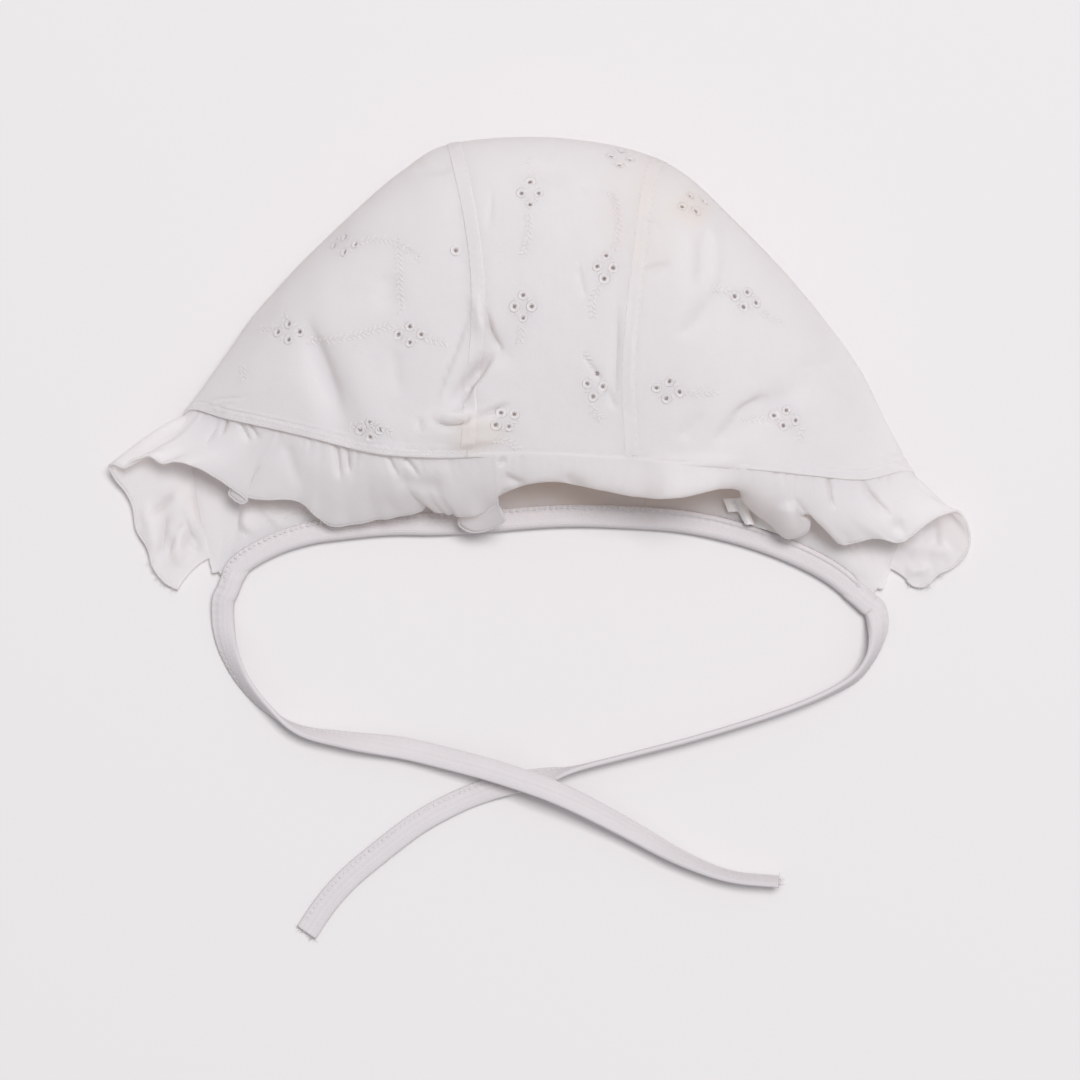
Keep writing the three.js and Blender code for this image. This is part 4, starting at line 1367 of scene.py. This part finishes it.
# %% Gathers and creases of the ruffle
RUFFLE_CREASES = [
    (-94.0, -12.5, -97.0, -17.9, -99.4, -21.5, -0.5, 0.7, 0.9),
    (-92.0, -12.4, -93.3, -15.9, -94.4, -18.7, -0.9, 0.6, 0.7),
    (-89.5, -12.6, -87.4, -17.0, -85.0, -21.0, -0.8, 0.7, 0.9),
    (-86.5, -13.2, -84.6, -16.7, -82.7, -19.9, -0.8, 0.6, 0.7),
    (-76.0, -17.5, -73.4, -26.0, -70.6, -34.0, -0.5, 2.2, 2.2),
    (-60.4, -18.2, -58.4, -26.8, -59.2, -32.0, -0.9, 0.8, 1.3),
    (-57.0, -19.7, -56.0, -25.6, -55.9, -30.1, -0.9, 0.6, 0.8),
    (-45.5, -21.9, -43.4, -26.9, -41.2, -31.0, -0.8, 0.7, 0.9),
    (-41.0, -22.3, -37.9, -27.2, -34.4, -31.4, -0.8, 0.7, 0.9),
    (-44.6, -29.7, -35.7, -33.8, -26.0, -33.0, -0.8, 2.2, 2.6),
    (-12.8, -26.9, -11.1, -26.2, -9.4, -25.4, -0.5, 0.8, 0.8),
    (-11.3, -29.4, -7.5, -31.4, -4.1, -32.2, -1.0, 0.7, 1.8),
    (6.0, -30.3, 9.7, -32.1, 15.0, -35.4, -1.0, 1.8, 0.8),
    (73.6, -37.0, 74.2, -42.5, 75.4, -49.5, 1.3, 1.5, 3.2),
    (74.6, -36.4, 76.4, -39.6, 79.2, -41.4, -0.7, 0.9, 0.7),
    (84.4, -28.4, 85.8, -35.4, 86.8, -40.9, -0.9, 0.7, 0.9),
    (94.5, -30.4, 99.0, -37.4, 102.8, -43.4, -1.0, 0.8, 1.4),
    (97.2, -33.6, 100.6, -38.4, 105.1, -42.8, -0.8, 0.7, 0.8),
    (103.0, -45.0, 106.3, -46.2, 109.0, -45.5, -0.6, 2.4, 2.4),
]
END_CREASES = [
    (-107.0, -30.0, -109.0, -40.0, -104.0, -51.0, 1.7, 4.5, 5.5),
    (-118.0, -36.0, -116.8, -46.0, -113.2, -56.0, 1.0, 2.5, 2.0),
    (-109.6, -44.0, -108.0, -50.0, -108.5, -58.0, 1.1, 1.8, 2.0),
    (-108.0, -34.4, -113.0, -38.7, -118.0, -43.5, -1.0, 1.0, 1.5),
    (-111.0, -41.0, -113.6, -48.6, -113.4, -56.0, -0.9, 1.0, 1.3),
    (-106.0, -43.0, -110.0, -49.0, -112.0, -55.5, -0.8, 0.9, 1.2),
    (-107.1, -38.5, -105.0, -48.0, -102.2, -54.5, -0.9, 1.2, 1.5),
    (112.4, -43.0, 112.0, -49.0, 112.6, -55.0, 0.8, 2.5, 3.0),
    (118.6, -42.0, 118.9, -47.0, 118.6, -53.0, -0.8, 1.1, 2.0),
    (116.5, -50.0, 120.5, -53.5, 123.0, -51.0, 0.6, 2.0, 2.0),
    (109.0, -58.2, 113.0, -58.8, 117.5, -56.6, 0.8, 1.4, 1.4),
]
GATHER_PLACES = (2.4, 3.2, 7.1, 7.5, 8.9, 9.3, 12.0, 12.8)
GATHER_SHARES = (0.3, 0.75, 0.85, 0.12, 0.12, 0.7, 0.7, 0.3)
END_PLACES = (2.6, 2.9, 12.0, 12.3)
PLEAT_SEED = 5
PLEATS_MOST = 220
PLEAT_GAPS = (1.6, 4.2)
PLEAT_DEPTHS = (0.15, 0.85)
PLEAT_DEPTH_POWER = 1.5
PLEAT_WIDTHS = (0.5, 0.9)
PLEAT_LENGTHS = (4.0, 10.0)
PLEAT_SLANTS = (-0.25, 0.25)
PLEAT_SPREAD = 0.12

rng = np.random.default_rng(PLEAT_SEED)
pleat_at = np.cumsum(rng.uniform(*PLEAT_GAPS, PLEATS_MOST))
pleat_at = pleat_at[pleat_at < root_length]
pleat_deep = rng.uniform(*PLEAT_DEPTHS, len(pleat_at)) ** PLEAT_DEPTH_POWER
pleat_wide = rng.uniform(*PLEAT_WIDTHS, len(pleat_at))
pleat_long = rng.uniform(*PLEAT_LENGTHS, len(pleat_at))
pleat_slant = rng.uniform(*PLEAT_SLANTS, len(pleat_at))


def gathers(root_run, from_root):
    """Short valleys that start at the seam and fade out towards the hem."""
    height = np.zeros_like(root_run)
    for at, deep, wide, long, slant in zip(pleat_at, pleat_deep, pleat_wide, pleat_long, pleat_slant):
        side = (root_run - at - slant * from_root) / (wide * (1 + PLEAT_SPREAD * from_root))
        height -= deep * np.exp(-side ** 2) * np.exp(-((from_root / long) ** 2))
    return height


RIPPLE_HIGH = 0.25
RIPPLE_SIZE = 7
RIPPLE_FROM = 0.4
LETTUCE_HIGH = 0.25
LETTUCE_PITCH = 5.3
LETTUCE_DRIFT = 11
SEWN_FLAT = 0.08
SEWN_SMOOTH = 0.1
ROOT_SAMPLES = 800


def ruffle_cloth(along, w):
    spots = ruffle(along, w)
    ahead = ruffle(np.minimum(along + NUDGE, LAST_FOLD), w) - ruffle(np.maximum(along - NUDGE, 0), w)
    down = ruffle(along, np.minimum(w + NUDGE, 1)) - ruffle(along, np.maximum(w - NUDGE, 0))
    out = unit(np.cross(down, ahead))
    shares = np.linspace(0, 1, ROOT_SAMPLES)
    root_run = np.interp(along, root_walk(shares), shares * root_length)
    from_root = np.linalg.norm(spots - ruffle(along, 0 * w), axis=-1)
    at = column(FOLDS, "at", along)
    gathered = np.interp(at, GATHER_PLACES, GATHER_SHARES)
    ripple = RIPPLE_HIGH * speckle(root_run, from_root, RIPPLE_SIZE, seed=21) * smooth(0, RIPPLE_FROM, w)
    ripple += CRUMPLE_HIGH * speckle(root_run, from_root, CRUMPLE_SIZE, seed=22)
    drift = 3 * speckle(root_run, 0 * root_run, LETTUCE_DRIFT, seed=23)
    lettuce = LETTUCE_HIGH * np.sin(2 * math.pi * root_run / LETTUCE_PITCH + drift) * w ** 3
    pleats = gathers(root_run, from_root) * smooth(0, SEWN_FLAT, w)
    lift = pleats * gathered + ripple + lettuce * gathered
    spots = spots + out * lift[:, None]
    x, y = spots[:, 0], spots[:, 1]
    ends = np.interp(at, END_PLACES, (1, 0, 0, 1))
    sewn = smooth(0, SEWN_SMOOTH, w)
    wrinkles = (1 - ends) * crease_height(x, y, RUFFLE_CREASES) + ends * crease_height(x, y, END_CREASES)
    spots[:, 2] += sewn * wrinkles
    spots[:, 2] = np.maximum(spots[:, 2], RUFFLE_WALL / 2 + FLOOR_CLEAR)
    return spots, out, root_run, from_root


print("gathers:", len(pleat_at))

# %% The ruffle's cloth
bm = unit_grid(*RUFFLE_STEPS)
u, w = grid_places(bm)
along = (hem_walk(u) + root_walk(u)) / 2
spots, out, root_run, from_root = ruffle_cloth(along, 1 - w)
lay(bm, spots, np.stack([u * hem_length, from_root], -1))
ruffle_piece = piece_of("brim_ruffle_cloth", bm, ruffle_cotton, ["brim_ruffle"],
                        RUFFLE_WALL)

# %% [markdown]
# ## The ruffle's hem
#
# The free edge is rolled and overlocked, so it ends in a thin round cord of thread. It is a sleeve
# round the hem line, with a small ripple for each loop of the overlock.

# %% Rolled hem
HEM_ROLL = 0.45
HEM_STEPS = (1400, 8)
HEM_LOOP = 0.12
HEM_LOOP_PITCH = 1.1
HEM_CLEAR = 0.05
HEM_LOOK = 0.001


def hem_sleeve(name, line):
    """A closed tube round a line of spots in millimetres, with a ripple for each loop of thread."""
    walked = walk(line)
    bm = unit_grid(*HEM_STEPS)
    u, w = grid_places(bm)

    def at(share):
        return np.stack([np.interp(share * walked[-1], walked, line[:, axis]) for axis in range(3)], -1)

    ahead = unit(at(np.minimum(u + HEM_LOOK, 1)) - at(np.maximum(u - HEM_LOOK, 0)))
    side = unit(np.cross(ahead, np.array([0, 0, 1.0])) + 1e-6)
    up = np.cross(side, ahead)
    turn = 2 * math.pi * w
    size = HEM_ROLL * (1 + HEM_LOOP * np.sin(2 * math.pi * u * walked[-1] / HEM_LOOP_PITCH + turn))
    spots = at(u) + (side * np.cos(turn)[:, None] + up * np.sin(turn)[:, None]) * size[:, None]
    lay(bm, spots, np.stack([u * walked[-1], w * 2 * math.pi * HEM_ROLL], -1))
    close_sleeve(bm)
    return piece_of(name, bm, ruffle_cotton)


hem_places = hem_walk(np.linspace(0, 1, HEM_STEPS[0]))
hem_spots, _, _, _ = ruffle_cloth(hem_places, 0 * hem_places + 1)
hem_spots[:, 2] = np.maximum(hem_spots[:, 2], HEM_ROLL + HEM_CLEAR)
ruffle_hem = hem_sleeve("ruffle_rolled_hem", hem_spots)

# %% [markdown]
# ## The nape band
#
# The binding tape is folded over the nape edge, so its section is a narrow U. Walking round the U
# from the upper leg to the lower one is the grid's short side, and the nape edge is its long side.

# %% Binding tape round the nape
TAPE_WALL = 1.0
BAND_WIDTH = 6.4
SEW_GAP = 0.3
BAND_HALF_GAP = CLOTH / 2 + SEW_GAP + TAPE_WALL / 2
BAND_TAPER = 0.7
BAND_NARROW = 0.4
BAND_STEPS = (440, 40)
RIDGE_PLACES = (5, 9, 10, 13.5)
RIDGE_SHARES = (0.1, 0.3, 1, 1)
RIDGE_HIGH = 0.7
EDGE_PRESS = 0.6
EDGE_PRESS_WIDE = 1.4
RIDGE_IN = 0.6
RIDGE_WIDE = 0.55
TOP_ENDS = (0.3, 1.2)
BAND_SEWN_AT = 3.3
BAND_DIP = 0.35
BAND_DIP_WIDE = 0.5
BAND_PUCKER = 0.14
BAND_PUCKER_PITCH = 2.4
BAND_PUCKER_AT = 3.6
BAND_SWELL = 0.25
BAND_SWELL_LONG = 16
BAND_CLOTH = 0.9
BAND_UNFOLDED = 12


def folded_tape(w, leg, half_gap):
    bend = math.pi * half_gap
    walked = w * (2 * leg + bend) - leg
    turn = np.clip(walked / bend, 0, 1) * math.pi
    return np.maximum(np.maximum(-walked, walked - bend), 0), turn


def nape_point(place):
    return np.stack([column(RIBS, "napeX", place), column(RIBS, "napeY", place)], -1)


def band(along, w):
    ahead = nape_point(np.minimum(along + NUDGE, LAST_RIB)) - nape_point(np.maximum(along - NUDGE, 0))
    ahead = unit(ahead)
    inward = np.stack([-ahead[:, 1], ahead[:, 0]], -1)
    straight, turn = folded_tape(w, BAND_WIDTH - BAND_HALF_GAP - SEW_GAP, BAND_HALF_GAP)
    inside_tie = 1 - smooth(0, BAND_TAPER, along) * smooth(0, BAND_TAPER, LAST_RIB - along)
    straight = straight * (1 - BAND_NARROW * inside_tie)
    reach = straight - BAND_HALF_GAP * np.sin(turn) - SEW_GAP
    plan = nape_point(along) + inward * reach[:, None]
    height = BAND_MID + BAND_HALF_GAP * np.cos(turn)
    return np.concatenate([plan, height[:, None]], 1), straight, turn


band_walk, band_length = even_places(lambda a: band(a, 0 * a + 0.5)[0], 0, LAST_RIB)
bm = unit_grid(*BAND_STEPS)
u, w = grid_places(bm)
along = band_walk(u)
spots, straight, turn = band(along, w)
on_top = 1 - smooth(*TOP_ENDS, turn)
edge = straight.max()
dip = -BAND_DIP * np.exp(-((straight - BAND_SEWN_AT) / BAND_DIP_WIDE) ** 2)
pressed = -EDGE_PRESS * smooth(edge - EDGE_PRESS_WIDE, edge, straight)
ridge_share = np.interp(along, RIDGE_PLACES, RIDGE_SHARES)
ridge = ridge_share * RIDGE_HIGH * np.exp(-((straight - edge + RIDGE_IN) / RIDGE_WIDE) ** 2)
pucker = BAND_PUCKER * np.sin(2 * math.pi * u * band_length / BAND_PUCKER_PITCH)
pucker *= np.exp(-(straight - BAND_PUCKER_AT) ** 2)
swell = BAND_SWELL * speckle(u * band_length, 0 * u, BAND_SWELL_LONG, seed=31)
spots[:, 2] += on_top * (dip + pucker + swell + ridge + pressed)
lay(bm, spots, np.stack([u * band_length, w * BAND_UNFOLDED], -1))
nape_band = piece_of("nape_band_tape", bm, binding_tape, ["nape_band"], BAND_CLOTH)

# %% [markdown]
# One row of stitches holds the folded tape shut, on the nape and along the ties. It shows on both
# faces of a tie, so each tie gets two rows.

# %% Stitches of the tape
TAPE_PITCH = 1.7
TAPE_STITCH = (0.5, 0.42, 0.24)
BAND_ROW = (0.004, 0.996)
BAND_ROW_AT = 0.055
BAND_ROW_LIFT = 0.28
BAND_ROW_SAMPLES = 900
TIE_ROW_START = 0.12
LEFT_SEWN_TO = 0.36
RIGHT_SEWN_TO = 0.985
TIE_ROW_SAMPLES = 700
TIE_ROW_SINK = 0.95

row_places = band_walk(np.linspace(*BAND_ROW, BAND_ROW_SAMPLES))
line, _, _ = band(row_places, np.full_like(row_places, BAND_ROW_AT))
line[:, 2] += BAND_ROW_LIFT
tape_stitches = [*stitch_row(line, np.tile((0, 0, 1.0), (BAND_ROW_SAMPLES, 1)), TAPE_PITCH, TAPE_STITCH)]
for route, sewn_side, sewn_to in ((LEFT_ROUTE, -1, LEFT_SEWN_TO), (RIGHT_ROUTE, 1, RIGHT_SEWN_TO)):
    places, _ = even_places(lambda a: tie_frame(route, a)[0], 0, len(route["x"]) - 1)
    shares = np.linspace(TIE_ROW_START, sewn_to, TIE_ROW_SAMPLES)
    middle, _, across, out = tie_frame(route, places(shares))
    for face in (1, -1):
        height = face * TIE_WALL / 2 * (1 - SEW_DIP) * TIE_ROW_SINK
        row = middle + across * sewn_side * SEW_LINE + out * height
        tape_stitches += stitch_row(row, out * face, TAPE_PITCH, TAPE_STITCH)
tape_rows = sewn_copies("tape_stitches", leaf_template(), tape_stitches, thread_cotton)

# %% [markdown]
# ## The label
#
# A short satin ribbon is caught in the nape, on the right, and left bare. It has rolled up over
# itself, so it shows as a small flat tab, a bright round roll and a flat panel beside it. Its section
# is a table from left to right, and the ribbon runs along the roll.

# %% Ribbon label
LABEL_TOP = np.array((59.4, -36.6))
LABEL_LOW = np.array((62.6, -44.6))
TAB_SHARE = 0.5
TAB_HEADING = np.array((1.0, 0.05))
PANEL_HEADING = np.array((0.95, -0.31))
LABEL_WALL = 0.4
LABEL_STEPS = (90, 40)
LABEL_LONG = 24
LABEL_WIDE = 8.6
LABEL_DENT = 0.2
LABEL_DENT_SIZE = 4
LABEL_TURN = (0.3, 0.8)
TAB_ENDS = (0.12, 0.3)
LABEL_SECTION = table(("side", "height"), [
    (-4.8, 5.6),
    (-3.4, 5.9),
    (-2.0, 5.7),
    (-1.5, 5.9),
    (-1.25, 6.5),
    (-0.7, 7.2),
    (0.1, 7.5),
    (0.9, 7.1),
    (1.3, 6.1),
    (1.1, 5.0),
    (0.9, 4.0),
    (1.7, 3.5),
    (3.2, 4.2),
    (5.2, 4.9),
    (7.5, 4.7),
    (10.2, 4.1),
])

bm = unit_grid(*LABEL_STEPS)
u, w = grid_places(bm)
section = u * (len(LABEL_SECTION["side"]) - 1)
side = column(LABEL_SECTION, "side", section)
height = column(LABEL_SECTION, "height", section)
height = height + LABEL_DENT * speckle(u * 20, w * 9, LABEL_DENT_SIZE, seed=41)
turned = smooth(*LABEL_TURN, u)[:, None]
heading = unit(TAB_HEADING * (1 - turned) + PANEL_HEADING * turned)
reach = w * (TAB_SHARE + (1 - TAB_SHARE) * smooth(*TAB_ENDS, u))
plan = LABEL_TOP + (LABEL_LOW - LABEL_TOP) * reach[:, None] + heading * side[:, None]
lay(bm, np.concatenate([plan, height[:, None]], 1), np.stack([u * LABEL_LONG, w * LABEL_WIDE], -1))
bmesh.ops.recalc_face_normals(bm, faces=bm.faces)
label = piece_of("label_ribbon", bm, label_satin, ["label"], LABEL_WALL)

# %% [markdown]
# ## Fray
#
# Cut ends of cotton let go of a few fibres. Each one is a thin bent hair of few faces. They stand at
# the two ends of the ruffle's hem and at the cut ends of the ties. On the inside of the left corner
# the seam is overlocked, which shows as a rough zigzag of thread beside the binding.

# %% Fibres and the inner overlock
FIBRE_STEPS = (4, 3)
FIBRE_THICK = 0.05
FIBRE_TAPER = 0.6
FIBRE_BEND = 0.3
FIBRE_TURNS = (-1.2, 1.2)
FIBRE_RISES = (0, 0.4)
FIBRE_LENGTHS = (0.8, 2.0)
HEM_FRAYS = [(0.25, 1.0, 46), (13.0, 13.72, 40)]
TIE_FRAYS = 22
TIE_FRAY_SIDES = (-0.46, 0.46)
HEM_WAY_FROM = 0.9


def fibre_template():
    bm = unit_grid(*FIBRE_STEPS)
    u, w = grid_places(bm)
    for vert, along, turn in zip(bm.verts, u, 2 * math.pi * w):
        thick = FIBRE_THICK * (1 - FIBRE_TAPER * along)
        vert.co = (along, FIBRE_BEND * along ** 2 + thick * math.cos(turn), thick * math.sin(turn))
    close_sleeve(bm, TEMPLATE_MERGE)
    return bm


def fray(spot, outward):
    """One fibre that leaves the spot near the outward direction."""
    turn = rng.uniform(*FIBRE_TURNS)
    x = outward[0] * math.cos(turn) - outward[1] * math.sin(turn)
    y = outward[0] * math.sin(turn) + outward[1] * math.cos(turn)
    heading = np.array((x, y, rng.uniform(*FIBRE_RISES)))
    long = rng.uniform(*FIBRE_LENGTHS)
    side = rng.choice((-1, 1))
    return sewn_frame(spot, np.array((0, 0, 1.0)), heading, (long, long * side, long * side), 0)


fibres = []
hem_at = column(FOLDS, "at", hem_places)
hem_way = unit(hem_spots - ruffle(hem_places, 0 * hem_places + HEM_WAY_FROM))
for first, last, count in HEM_FRAYS:
    near = np.flatnonzero((hem_at >= first) & (hem_at <= last))
    for index in rng.choice(near, count):
        fibres.append(fray(hem_spots[index], hem_way[index]))
for route in (LEFT_ROUTE, RIGHT_ROUTE):
    middle, ahead, across, _ = tie_frame(route, np.array([len(route["x"]) - 1.0]))
    for offset in rng.uniform(*TIE_FRAY_SIDES, TIE_FRAYS):
        fibres.append(fray(middle[0] + across[0] * offset * TIE_WIDTH, ahead[0]))
fibre_piece = sewn_copies("frayed_fibres", fibre_template(), fibres, ruffle_cotton)


OVERLOCK_PLACES = (1.3, 3.6)
OVERLOCK_SAMPLES = 160
OVERLOCK_ROWS = [(7.6, 1.1, 0.8), (9.0, 1.3, 1.0)]
LOWER_SAMPLES = 120


def above_nape(places, reach):
    """Spots of the lower cloth at the given distance from the nape edge."""
    v = np.linspace(FLAT_FROM, 1, LOWER_SAMPLES)
    chosen = []
    for place in places:
        lower = crown(np.full_like(v, place), v)[:, :2]
        gap = np.linalg.norm(lower - nape_point(np.array([place])), axis=1)
        chosen.append(v[np.argmin(np.abs(gap - reach))])
    return crown_cloth(places, np.array(chosen))


overlock = []
for reach, pitch, lean in OVERLOCK_ROWS:
    spots, out = above_nape(np.linspace(*OVERLOCK_PLACES, OVERLOCK_SAMPLES), reach)
    overlock += stitch_row(spots, -out, pitch, ZIGZAG, PANEL_WALL / 2, lean)
overlock_piece = sewn_copies("inner_overlock", leaf_template(), overlock, eyelet_cotton)

# %% [markdown]
# ## Floor and light
#
# The hat lies on a plain pale floor. A wide soft lamp stands far off towards the top right, so
# a dark line that fades out runs below the lower edge of the tape, and an even, slightly cool sky
# fills the rest. The cotton itself is a slightly cool white. The light that has passed through the
# cloth is warm, and the inside lower cloth also carries a painted warm shade, so the hat looks
# neutral from outside and warmer on its inside.

# %% Floor, lamp and sky
FLOOR_HALF = 3
FLOOR_COLOUR = (0.745, 0.715, 0.718, 1)
FLOOR_ROUGHNESS = 0.9
FLOOR_SHINE = 0.1
LAMP_SIZE = (2.0, 1.6)
LAMP_PLACE = (0.85, 1.2, 4.4)
LAMP_POWER = 164
LAMP_COLOUR = (0.98, 0.99, 1)
SKY_COLOUR = (0.965, 0.98, 1, 1)
SKY_STRENGTH = 0.46

floor_mesh = bpy.data.meshes.new("floor")
bm = bmesh.new()
bmesh.ops.create_grid(bm, x_segments=1, y_segments=1, size=FLOOR_HALF)
bm.to_mesh(floor_mesh)
bm.free()
floor = bpy.data.objects.new("floor", floor_mesh)
bpy.context.scene.collection.objects.link(floor)
floor_paint, _, floor_shader = new_finish("floor_paint")
floor_shader.inputs["Base Color"].default_value = FLOOR_COLOUR
floor_shader.inputs["Roughness"].default_value = FLOOR_ROUGHNESS
floor_shader.inputs["Specular IOR Level"].default_value = FLOOR_SHINE
floor_mesh.materials.append(floor_paint)

lamp_data = bpy.data.lights.new("lamp", "AREA")
lamp_data.shape = "RECTANGLE"
lamp_data.size, lamp_data.size_y = LAMP_SIZE
lamp_data.color = LAMP_COLOUR
lamp_data.energy = LAMP_POWER
lamp = bpy.data.objects.new("lamp", lamp_data)
lamp.location = LAMP_PLACE
lamp.rotation_euler = (Vector((0, 0, 0)) - Vector(lamp.location)).to_track_quat("-Z", "Y").to_euler()
bpy.context.scene.collection.objects.link(lamp)

sky = bpy.data.worlds.new("sky")
sky.use_nodes = True
sky.node_tree.nodes["Background"].inputs["Color"].default_value = SKY_COLOUR
sky.node_tree.nodes["Background"].inputs["Strength"].default_value = SKY_STRENGTH
bpy.context.scene.world = sky
bpy.context.scene.view_settings.view_transform = "Standard"
print("floor, lamp and sky are in place")

# %% First points of the two ties
tuple(left_line[0])
tuple(right_line[0])
